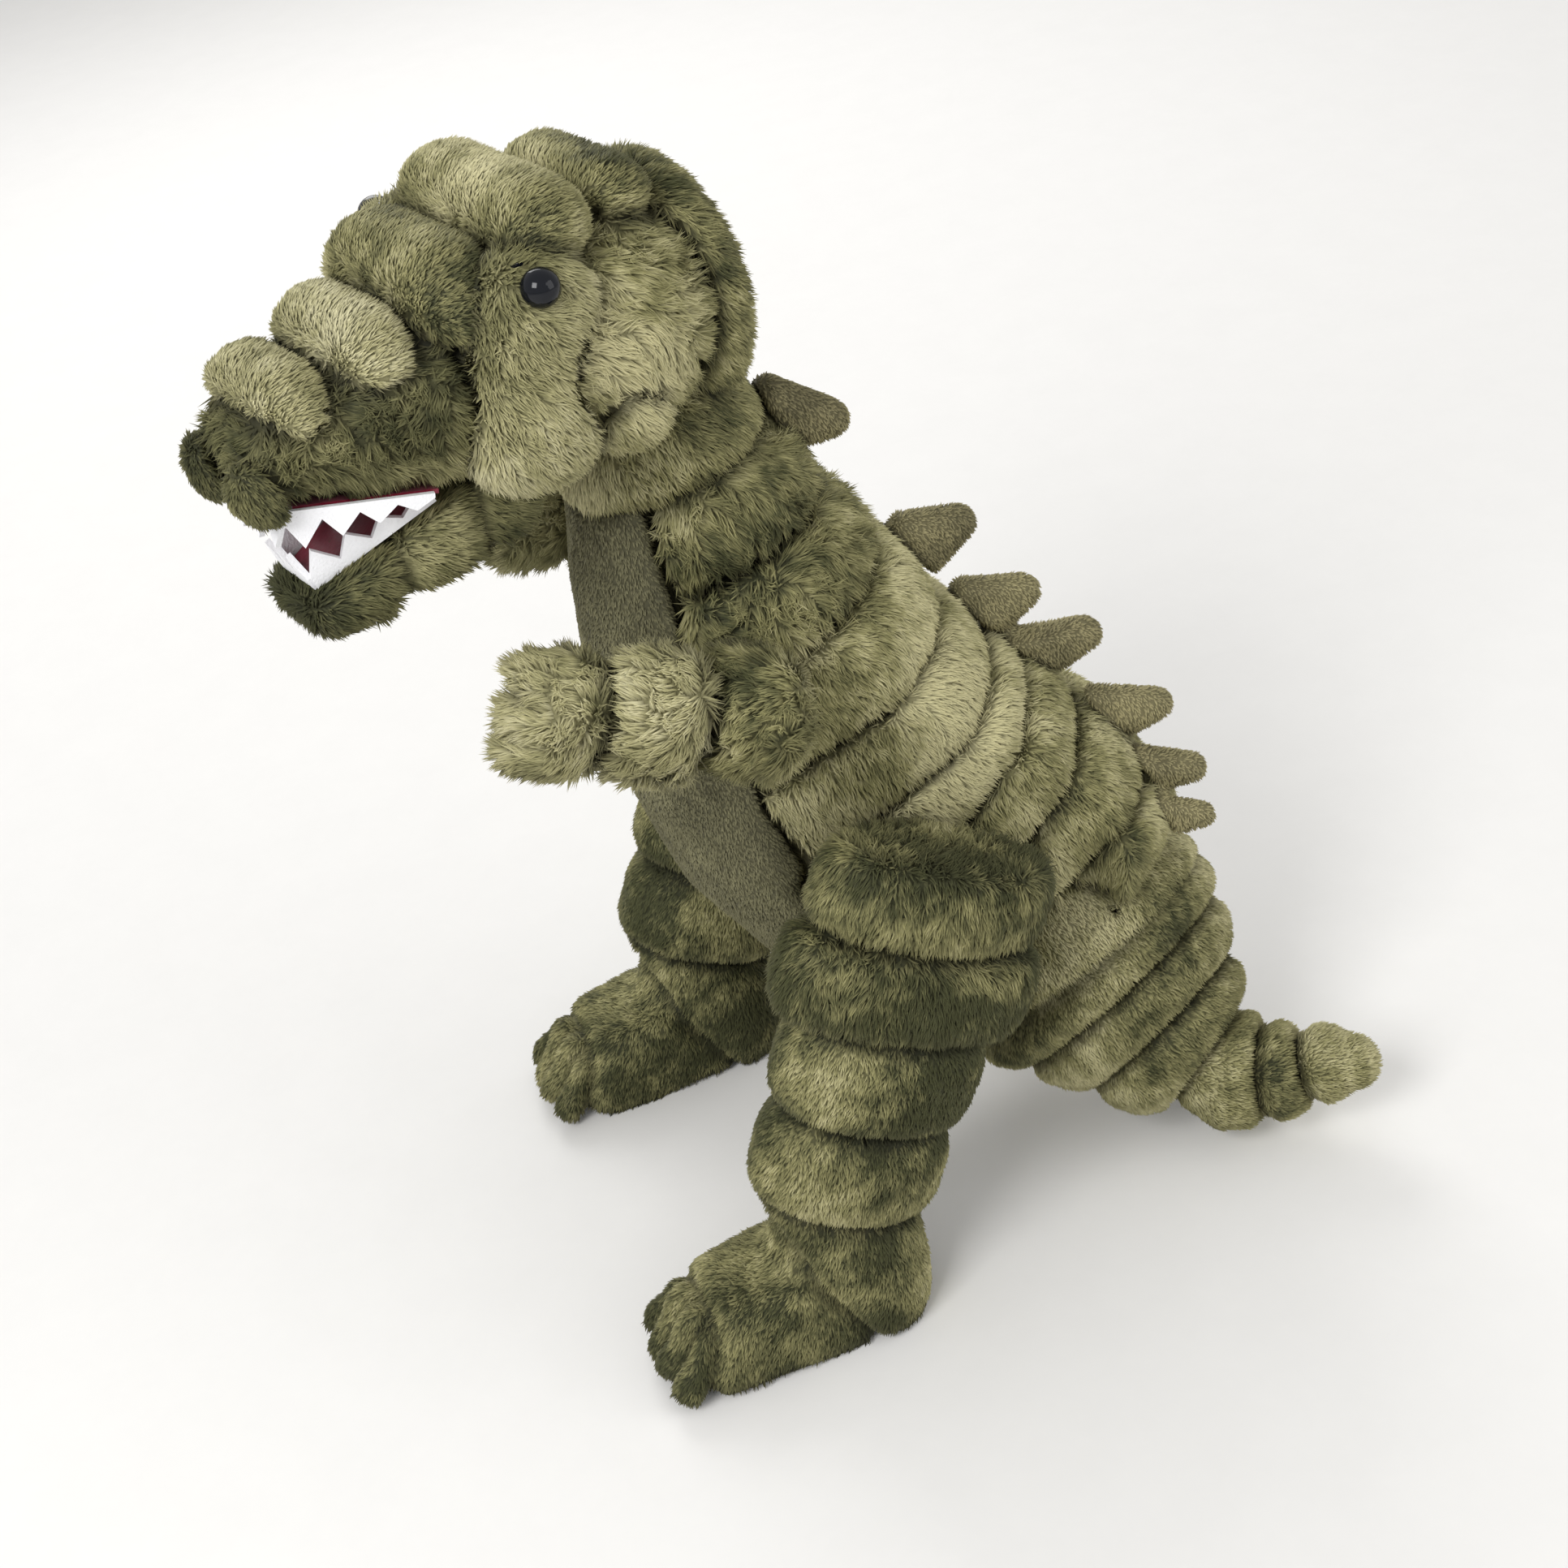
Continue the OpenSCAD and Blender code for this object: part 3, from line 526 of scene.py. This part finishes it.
# How much paler or darker a pad is than the rest of the toy, as a step along its colour ramp: partly the
# pad's own colour, partly painted shade on the toy's far right arm and leg.
TONE_AND_SHADE = {
    "body_band_1": 0.02, "body_band_2": 0.03, "body_band_3": 0.05, "body_band_4": 0.08, "body_band_5": 0.09,
    "body_band_6": 0.06, "body_band_7": 0.01, "body_band_8": 0.03, "tail_band_1": 0.01, "tail_band_2": 0.04,
    "tail_band_6": 0.05, "snout_roll_front": -0.06, "snout_roll_middle": 0.04,
    "snout_roll_rear": -0.05, "brow_roll": 0.03, "crown_roll": -0.01, "snout_cover": -0.03,
    "nostril_left": -0.07, "nostril_right": -0.07, "jaw_cover": -0.05, "chin_puff": -0.03,
    "skull_cover": -0.01,
    "thigh_pad_upper_left": -0.12, "thigh_pad_lower_left": -0.14, "thigh_pad_lower_right": -0.13,
    "thigh_pad_upper_right": -0.11, "shin_band_upper_left": -0.10, "shin_band_upper_right": -0.10,
    "shin_band_lower_left": -0.08, "shin_band_lower_right": -0.08, "foot_left": -0.16, "foot_right": -0.09,
    "forearm_puff_left": 0.09, "hand_right": -0.10, "forearm_puff_right": -0.10,
    "cheek_band_left": -0.08, "cheek_band_right": -0.08,
}


def joint_place(name):
    """Where a joint of the frame sits."""
    return next(Vector(joint["pos_m"]) for joint in frame["joints"] if joint["name"] == name)


def padded_skin(node, body, slot, pile, material, comb, fill=0.7, voxel=None, lump=None, cuts=(), shape=None):
    """A soft padded copy of one CAD pad, kept for its pile."""
    pads = settings("pads")
    bm = bmesh.new()
    bm.from_mesh(frame["nodes"][node].data)
    bmesh.ops.remove_doubles(bm, verts=bm.verts, dist=1e-5)
    if shape:
        shape(bm)
    obj = new_object(node + "_plush", bm)
    remesh = obj.modifiers.new("voxels", "REMESH")
    remesh.mode = "VOXEL"
    remesh.voxel_size = voxel or pads.voxel
    smooth = obj.modifiers.new("rounding", "SMOOTH")
    smooth.iterations = pads.smoothing
    apply_modifiers(obj)
    use_group(
        obj, bpy.data.node_groups["soft_lumps"], Height=pads.lump if lump is None else lump, Scale=LUMPS
    )
    apply_modifiers(obj)
    obj.data.materials.clear()
    obj.data.materials.append(MATERIALS[material])
    SKINS.append({
        "obj": obj, "node": node, "body": body, "slot": slot, "fill": fill,
        "pile": pile, "comb": Vector(comb), "cuts": cuts,
    })


def crease(point, normal, width=0.003, depth=0.003, ahead=None, fade=0.004):
    """A sewn crease in a plane. It may run only ahead of a second plane, given as a point and a normal."""
    normal = Vector(normal).normalized()
    return {"point": point, "normal": normal, "width": width, "depth": depth, "ahead": ahead, "fade": fade}


def draped(centre, across, widen, droop):
    """Widens a roll across the head and lets its ends hang."""

    def shape(bm):
        for vert in bm.verts:
            side = (vert.co - centre).dot(across)
            vert.co += across * side * (widen - 1)
            vert.co.z -= droop * (side * widen) ** 2

    return shape


def resized(node, axis, factor, push=0.0):
    """Widens or narrows a pad along an axis about its middle, and moves it along the axis."""
    centre = node_centre(node)
    axis = Vector(axis).normalized()

    def shape(bm):
        for vert in bm.verts:
            vert.co += axis * ((vert.co - centre).dot(axis) * (factor - 1) + push)

    return shape


def in_turn(first, second):
    """One shape change after another."""

    def shape(bm):
        first(bm)
        second(bm)

    return shape


def rooted(nodes, reach=0.0025, sunk=0.003, swell=0.0012):
    """Swells a spike and sinks its foot into the pads that carry it."""
    pads = bmesh.new()
    for node in nodes:
        pads.from_mesh(frame["nodes"][node].data)
    tree = BVHTree.FromBMesh(pads)
    pads.free()

    def shape(bm):
        bm.normal_update()
        for vert in bm.verts:
            _, normal, _, gap = tree.find_nearest(vert.co)
            if gap < reach:
                vert.co -= normal * sunk
            else:
                vert.co += vert.normal * swell

    return shape


def mask_hidden(skins, reach=0.0016):
    """Marks where a skin can carry pile: not where another skin covers it, and not on a sole."""
    trees = []
    for obj in [skin["obj"] for skin in skins]:
        places = [Vector(p) for p in vertex_places(obj)]
        faces = [tuple(p.vertices) for p in obj.data.polygons]
        low = Vector(np.min(vertex_places(obj), axis=0).tolist())
        high = Vector(np.max(vertex_places(obj), axis=0).tolist())
        trees.append((obj, BVHTree.FromPolygons(places, faces), low, high))
    for skin in skins:
        obj = skin["obj"]
        mask = np.ones(len(obj.data.vertices), np.float32)
        low = Vector(np.min(vertex_places(obj), axis=0).tolist()) - Vector((reach, reach, reach))
        high = Vector(np.max(vertex_places(obj), axis=0).tolist()) + Vector((reach, reach, reach))
        near = [
            (tree, a, b)
            for other, tree, a, b in trees
            if other is not obj and all(a[i] <= high[i] and b[i] >= low[i] for i in range(3))
        ]
        mask[(vertex_places(obj)[:, 2] < SOLE_HEIGHT) & (vertex_normals(obj)[:, 2] < SOLE_SLOPE)] = 0
        for i, (place, normal) in enumerate(zip(vertex_places(obj), vertex_normals(obj))):
            if not mask[i]:
                continue
            probe = Vector((place + normal * reach).tolist())
            for tree, a, b in near:
                if any(probe[k] < a[k] or probe[k] > b[k] for k in range(3)):
                    continue
                spot, face_normal, _, _ = tree.find_nearest(probe)
                if spot is not None and (probe - spot).dot(face_normal) < 0:
                    mask[i] = 0
                    break
        attribute = obj.data.attributes.new("pile_mask", "FLOAT", "POINT")
        attribute.data.foreach_set("value", mask)


def spread(values, edges, rounds):
    """Blurs one value per vertex over the mesh's edges."""
    a, b = edges
    count = len(values)
    degree = np.maximum(np.bincount(a, minlength=count) + np.bincount(b, minlength=count), 1)
    for _ in range(rounds):
        total = np.bincount(a, values[b], count) + np.bincount(b, values[a], count)
        values = (values + total / degree) / 2
    return values


def shape_skin(skin, style):
    """Draws the open skin in by the pile's height, deepens its seams and laps it over the next pad."""
    obj = skin["obj"]
    mesh = obj.data
    mask = np.empty(len(mesh.vertices), np.float32)
    mesh.attributes["pile_mask"].data.foreach_get("value", mask)
    ends = np.empty(len(mesh.edges) * 2, np.int32)
    mesh.edges.foreach_get("vertices", ends)
    edges = ends.reshape(-1, 2).T
    near = spread(mask.astype(float), edges, 2)
    open_share = np.clip(spread(mask.astype(float), edges, 9) * 1.6 - 0.6, 0, 1)
    depth = style["sink"] * near + style["groove"] * mask * (1 - open_share) ** 2
    normals = vertex_normals(obj)
    for cut in skin["cuts"]:
        away = (vertex_places(obj) - np.array(cut["point"])) @ np.array(cut["normal"])
        share = np.exp(-((away / cut["width"]) ** 2))
        if cut["ahead"]:
            point, normal = cut["ahead"]
            share *= np.clip((vertex_places(obj) - np.array(point)) @ np.array(normal) / cut["fade"], 0, 1)
        depth += cut["depth"] * share
        # A sewn crease also closes the skin, so painted shade falls along it too.
        open_share = open_share * (1 - 0.8 * share)
    lap = np.outer(open_share * mask * style["lap"], skin["comb"])
    lap -= normals * np.sum(lap * normals, axis=1)[:, None] * 0.5
    places = vertex_places(obj) - normals * depth[:, None] + lap
    mesh.vertices.foreach_set("co", places.astype(np.float32).ravel())
    mesh.update()
    # How open each spot is, kept for the painted shade in the seams and creases of the pile.
    attribute = mesh.attributes.new("open", "FLOAT", "POINT")
    attribute.data.foreach_set("value", open_share.astype(np.float32))
    # The pad's step from the table: its own tone, and painted shade for the far right side.
    attribute = mesh.attributes.new("tone", "FLOAT", "POINT")
    attribute.data.foreach_set("value", np.full(len(mesh.vertices), TONE_AND_SHADE.get(skin["node"], 0.0), np.float32))


# Density is tufts in a square millimetre. Lift, comb, swirl and clump are shares of a tuft's direction.
# Scale and lock are cycles in a metre. Sink, groove and lap are lengths that shape the skin.
PILES = {
    "fluff": {
        "density": 2.05, "lift": 0.36, "comb": 0.6, "swirl": 3.2, "scale": 75.0, "clump": 0.7, "lock": 190.0,
        "sink": 0.0022, "groove": 0.0020, "lap": 0.0015,
    },
    "plush": {
        "density": 1.85, "lift": 0.34, "comb": 0.9, "swirl": 1.3, "scale": 70.0, "clump": 0.4, "lock": 230.0,
        "sink": 0.0014, "groove": 0.0028, "lap": 0.0028,
    },
    "velour": {
        "density": 1.9, "lift": 0.40, "comb": 0.9, "swirl": 1.0, "scale": 60.0, "clump": 0.3, "lock": 260.0,
        "sink": 0.0010, "groove": 0.0028, "lap": 0.0028,
    },
    "nap": {
        "density": 1.5, "lift": 0.5, "comb": 0.8, "swirl": 0.8, "scale": 60.0, "clump": 0.2, "lock": 260.0,
        "sink": 0.0002, "groove": 0.0006, "lap": 0.0010,
    },
}


def plant_pile(skin, seed):
    """Shapes a skin, grows its pile and lays what would pass the ground flat on it."""
    pile = settings("pile")
    style = PILES[skin["pile"]]
    shape_skin(skin, style)
    use_group(
        skin["obj"], bpy.data.node_groups["combed_pile"],
        Density=style["density"] / MM**2, Length=getattr(pile, skin["pile"]), Width=pile.width,
        Lift=style["lift"], Comb=tuple(skin["comb"] * style["comb"]), Swirl=style["swirl"],
        Swirl_Scale=style["scale"], Clump=style["clump"], Lock=style["lock"], Seed=seed,
    )
    apply_modifiers(skin["obj"])
    places = vertex_places(skin["obj"])
    if places[:, 2].min() < 0:
        places[:, 2] = np.maximum(places[:, 2], 0)
        skin["obj"].data.vertices.foreach_set("co", places.ravel())
        skin["obj"].data.update()


def finish_piece(obj, body, nodes):
    """Hangs a finished pad on its body and hides the nodes that it stands for."""
    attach(obj, body)
    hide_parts(*nodes)


def along(a, b):
    """The direction from the middle of one node to another's."""
    return (node_centre(b) - node_centre(a)).normalized()


# ---- Operators ----


class PlushOperator:
    bl_options = {"REGISTER", "UNDO"}


class DINO_OT_body_bands(PlushOperator, bpy.types.Operator):
    """Builds the eight padded bands of the neck and torso"""

    bl_idname = "dinosaur.body_bands"
    bl_label = "Body Bands"

    def execute(self, context):
        for i in range(1, 9):
            node = f"body_band_{i}"
            comb = along(node, f"body_band_{i + 1}") if i < 8 else along("body_band_7", node)
            slot = "long_plush" if i <= 3 else "short_plush"
            padded_skin(node, "torso", slot, "fluff" if i <= 2 else "plush", "mottled", comb)
        spine = along("body_band_1", "body_band_8")
        padded_skin("belly_panel", "torso", "belly_velour", "nap", "belly", spine, lump=0.001)
        padded_skin("body_stuffing", "torso", "stuffing", "plush", "mottled", spine)
        return {"FINISHED"}


class DINO_OT_tail_bands(PlushOperator, bpy.types.Operator):
    """Builds the six padded rings of the tail"""

    bl_idname = "dinosaur.tail_bands"
    bl_label = "Tail Rings"

    def execute(self, context):
        for i in range(1, 7):
            node = f"tail_band_{i}"
            comb = along(node, f"tail_band_{i + 1}") if i < 6 else along("tail_band_5", node)
            cuts = [crease(joint_place("tail_sway"), comb, 0.0035, 0.004)] if i == 1 else ()
            body = "tail" if i <= 3 else "tail_tip"
            padded_skin(node, body, "short_plush", "velour", "mottled", comb, voxel=0.002, cuts=cuts)
        return {"FINISHED"}


class DINO_OT_head(PlushOperator, bpy.types.Operator):
    """Builds the padded covers and rolls of the head and the lower jaw"""

    bl_idname = "dinosaur.head"
    bl_label = "Head"

    def execute(self, context):
        back = along("snout_cover", "skull_cover")
        across = along("eye_right", "eye_left")
        down = Vector((0, 0, -1))
        covers = [
            ("skull_cover", "mottled", "fluff", None), ("snout_cover", "dark", "fluff", None),
            *[(f"nostril_{side}", "dark", "velour", resized(f"nostril_{side}", down, 1.2)) for side in SIDES],
            ("nape_band", "mottled", "plush", None), ("head_stuffing", "mottled", "fluff", None),
            *[(f"jowl_band_{side}", "mottled", "plush", resized(f"jowl_band_{side}", back, 1.2))
              for side in SIDES],
        ]
        for side in SIDES:
            cheek = f"cheek_band_{side}"
            shape = in_turn(resized(cheek, back, 1.28, 0.001), resized(cheek, across, 1.18))
            covers.append((cheek, "pale", "plush", shape))
        for node, material, pile, shape in covers:
            padded_skin(node, "head", "long_plush", pile, material, back * 0.5 + down * 0.7, shape=shape)
        for node, material, widen, droop in (
            ("snout_roll_front", "pale", 1.3, 9.0), ("snout_roll_middle", "pale", 1.3, 8.0),
            ("snout_roll_rear", "mottled", 1.3, 5.5), ("brow_roll", "mottled", 1.14, 2.0),
            ("crown_roll", "mottled", 1.1, 3.0),
        ):
            shape = draped(node_centre(node), across, widen, droop)
            padded_skin(node, "head", "long_plush", "velour", material, back, shape=shape)
        jaw = node_centre("jaw_cover")
        length = (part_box("jaw_cover")[1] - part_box("jaw_cover")[0]).y
        folds = [crease(jaw + back * length * share, back) for share in (-0.12, 0.2)]
        for node, cuts, factor, push in (("jaw_cover", folds, 0.9, -0.002), ("chin_puff", (), 1.3, -0.005)):
            shape = resized(node, down, factor, push)
            comb = back * 0.8 + down * 0.3
            padded_skin(node, "jaw", "long_plush", "plush", "dark", comb, cuts=cuts, shape=shape)
        return {"FINISHED"}


class DINO_OT_arms(PlushOperator, bpy.types.Operator):
    """Builds the padded puffs of both arms"""

    bl_idname = "dinosaur.arms"
    bl_label = "Arms"

    def execute(self, context):
        for side in SIDES:
            comb = along(f"shoulder_puff_{side}", f"hand_{side}")
            shoulder = node_centre(f"shoulder_puff_{side}")
            inward = -shoulder.x / abs(shoulder.x)
            sewn = resized(f"shoulder_puff_{side}", (1, 0, 0), 1.3, inward * 0.0045)
            palm = node_centre(f"hand_{side}")
            between = comb.cross(Vector((1, 0, 0))).normalized()
            knuckles = (palm + comb * 0.003, comb)
            finger = between * 0.006
            fingers = [crease(palm + finger * k, between, 0.0026, 0.0035, knuckles) for k in (-1, 1)]
            for part in ("shoulder_puff", "forearm_puff", "hand"):
                material = "mottled" if part == "shoulder_puff" else "pale"
                padded_skin(
                    f"{part}_{side}", f"arm_{side}", "long_plush", "fluff", material, comb,
                    cuts=fingers if part == "hand" else (), shape=sewn if part == "shoulder_puff" else None,
                )
        return {"FINISHED"}


class DINO_OT_legs(PlushOperator, bpy.types.Operator):
    """Builds the padded bands and feet of both legs"""

    bl_idname = "dinosaur.legs"
    bl_label = "Legs"

    def execute(self, context):
        for side in SIDES:
            comb = along(f"thigh_pad_upper_{side}", f"shin_band_lower_{side}")
            low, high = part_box(f"foot_{side}")
            middle = (low + high) / 2
            toes = Vector((middle.x, low.y + 0.021, middle.z))
            instep = Vector((middle.x, low.y + 0.053, low.z + 0.030))
            ahead = (toes, Vector((0, -1, 0)))
            toe_width = Vector((0.0115, 0, 0))
            creases = [
                crease(toes, (0, 1, -0.25), 0.0028, 0.0045),
                crease(instep, (0, 1, 0.5), 0.0030, 0.0040),
                *[crease(middle + toe_width * k, (1, 0, 0), 0.0024, 0.0045, ahead) for k in (-1, 0, 1)],
            ]
            for part in ("thigh_pad_upper", "thigh_pad_lower", "shin_band_upper", "shin_band_lower", "foot"):
                cuts = creases if part == "foot" else ()
                pile = "plush" if part.startswith("thigh") else "velour"
                padded_skin(f"{part}_{side}", f"leg_{side}", "short_plush", pile, "mottled", comb, cuts=cuts)
        return {"FINISHED"}


class DINO_OT_spikes(PlushOperator, bpy.types.Operator):
    """Builds the soft spikes of the neck and back"""

    bl_idname = "dinosaur.spikes"
    bl_label = "Spikes"

    def execute(self, context):
        comb = along("body_band_1", "body_band_8")
        shape = rooted([f"body_band_{i}" for i in range(1, 9)])
        for node in ("nape_spike", "back_spikes"):
            padded_skin(
                node, "torso", "spike_velour", "nap", "spike", comb, voxel=0.0014, lump=0.0004, shape=shape
            )
        return {"FINISHED"}


class DINO_OT_pile(PlushOperator, bpy.types.Operator):
    """Plants the pile on every padded skin"""

    bl_idname = "dinosaur.pile"
    bl_label = "Pile"

    def execute(self, context):
        mask_hidden(SKINS)
        for seed, skin in enumerate(SKINS):
            plant_pile(skin, seed)
            finish_piece(skin["obj"], skin["body"], [skin["node"]])
        return {"FINISHED"}


class DINO_OT_trim(PlushOperator, bpy.types.Operator):
    """Gives the teeth, the lining and the eyes their finishes"""

    bl_idname = "dinosaur.trim"
    bl_label = "Teeth, Lining and Eyes"

    def execute(self, context):
        finishes = {
            "upper_teeth": "felt", "lower_teeth": "felt",
            "palate_lining": "lining", "mouth_floor_lining": "lining",
            "eye_left": "eye", "eye_right": "eye", "eye_washer_left": "eye", "eye_washer_right": "eye",
        }
        for node, material in finishes.items():
            mesh = frame["nodes"][node].data
            mesh.materials.clear()
            mesh.materials.append(MATERIALS[material])
        return {"FINISHED"}


class DINO_OT_stage(PlushOperator, bpy.types.Operator):
    """Sets the pale floor, the soft lights and the camera"""

    bl_idname = "dinosaur.stage"
    bl_label = "Stage"

    def execute(self, context):
        stage = settings("stage")
        bm = bmesh.new()
        bmesh.ops.create_grid(bm, x_segments=1, y_segments=1, size=8)
        floor = new_object("floor", bm)
        grey = list(settings("colours").floor)
        paper = cloth_material("floor_paper", grey, 200.0, 0.0001, 0.9, variation=0.01, sheen=0.0)
        floor.data.materials.append(paper)
        world = bpy.data.worlds.new("studio")
        context.scene.world = world
        world.use_nodes = True
        world.node_tree.nodes["Background"].inputs["Color"].default_value = (1, 1, 1, 1)
        world.node_tree.nodes["Background"].inputs["Strength"].default_value = 0.65
        toward = Vector((
            math.sin(stage.azimuth) * math.cos(stage.elevation),
            -math.cos(stage.azimuth) * math.cos(stage.elevation),
            math.sin(stage.elevation),
        ))
        aim = Vector(stage.aim)
        # Turn from the camera's side in degrees, height, distance, power in watts and size of each light.
        for name, turn, height, distance, power, size in (
            ("key", 35, 1.1, 1.3, 16, 0.7), ("fill", -60, 0.5, 1.4, 5, 1.0), ("rim", 170, 0.9, 1.3, 8, 0.8),
        ):
            light = bpy.data.objects.new(name, bpy.data.lights.new(name, "AREA"))
            context.scene.collection.objects.link(light)
            flat = Vector((toward.x, toward.y, 0)).normalized()
            flat.rotate(Matrix.Rotation(math.radians(-turn), 4, "Z"))
            light.location = aim + flat * distance + Vector((0, 0, height))
            light.rotation_euler = (light.location - aim).to_track_quat("Z", "Y").to_euler()
            light.data.energy = power
            light.data.size = size
        camera = bpy.data.objects.new("camera", bpy.data.cameras.new("camera"))
        context.scene.collection.objects.link(camera)
        camera.data.lens = stage.lens
        camera.data.clip_start = 0.01
        turn = toward.to_track_quat("Z", "Y").to_matrix().to_4x4()
        tilt = Matrix.Rotation(stage.roll, 4, "Z")
        camera.matrix_world = Matrix.Translation(aim + toward * stage.distance) @ turn @ tilt
        context.scene.camera = camera
        context.scene.view_settings.view_transform = "Standard"
        return {"FINISHED"}


class DINO_PT_panel(bpy.types.Panel):
    """Lists the builders and their sizes and colours"""

    bl_idname = "DINO_PT_panel"
    bl_label = "Stuffed Dinosaur"
    bl_space_type = "VIEW_3D"
    bl_region_type = "UI"
    bl_category = "Dinosaur"

    def draw(self, context):
        for operator in OPERATORS:
            self.layout.operator(operator.bl_idname)
        for kind in GROUPS:
            box = self.layout.box()
            group = settings(kind)
            for key in group.bl_rna.properties.keys():
                if key not in ("rna_type", "name"):
                    box.prop(group, key)


OPERATORS = (
    DINO_OT_stage, DINO_OT_body_bands, DINO_OT_tail_bands, DINO_OT_head, DINO_OT_arms, DINO_OT_legs,
    DINO_OT_spikes, DINO_OT_pile, DINO_OT_trim,
)
GROUPS = {"pads": PadSettings, "pile": PileSettings, "colours": ColourSettings, "stage": StageSettings}


def register():
    for group in GROUPS.values():
        bpy.utils.register_class(group)
    for kind, group in GROUPS.items():
        setattr(bpy.types.Scene, "dinosaur_" + kind, PointerProperty(type=group))
    for operator in OPERATORS:
        bpy.utils.register_class(operator)
    bpy.utils.register_class(DINO_PT_panel)


def unregister():
    bpy.utils.unregister_class(DINO_PT_panel)
    for operator in reversed(OPERATORS):
        bpy.utils.unregister_class(operator)
    for kind, group in GROUPS.items():
        delattr(bpy.types.Scene, "dinosaur_" + kind)
        bpy.utils.unregister_class(group)


def main():
    """Builds the whole toy and its stage."""
    register()
    MATERIALS.update(make_materials())
    lump_group()
    pile_group()
    for operator in OPERATORS:
        space, name = operator.bl_idname.split(".")
        getattr(getattr(bpy.ops, space), name)()


if __name__ == "__main__":
    main()
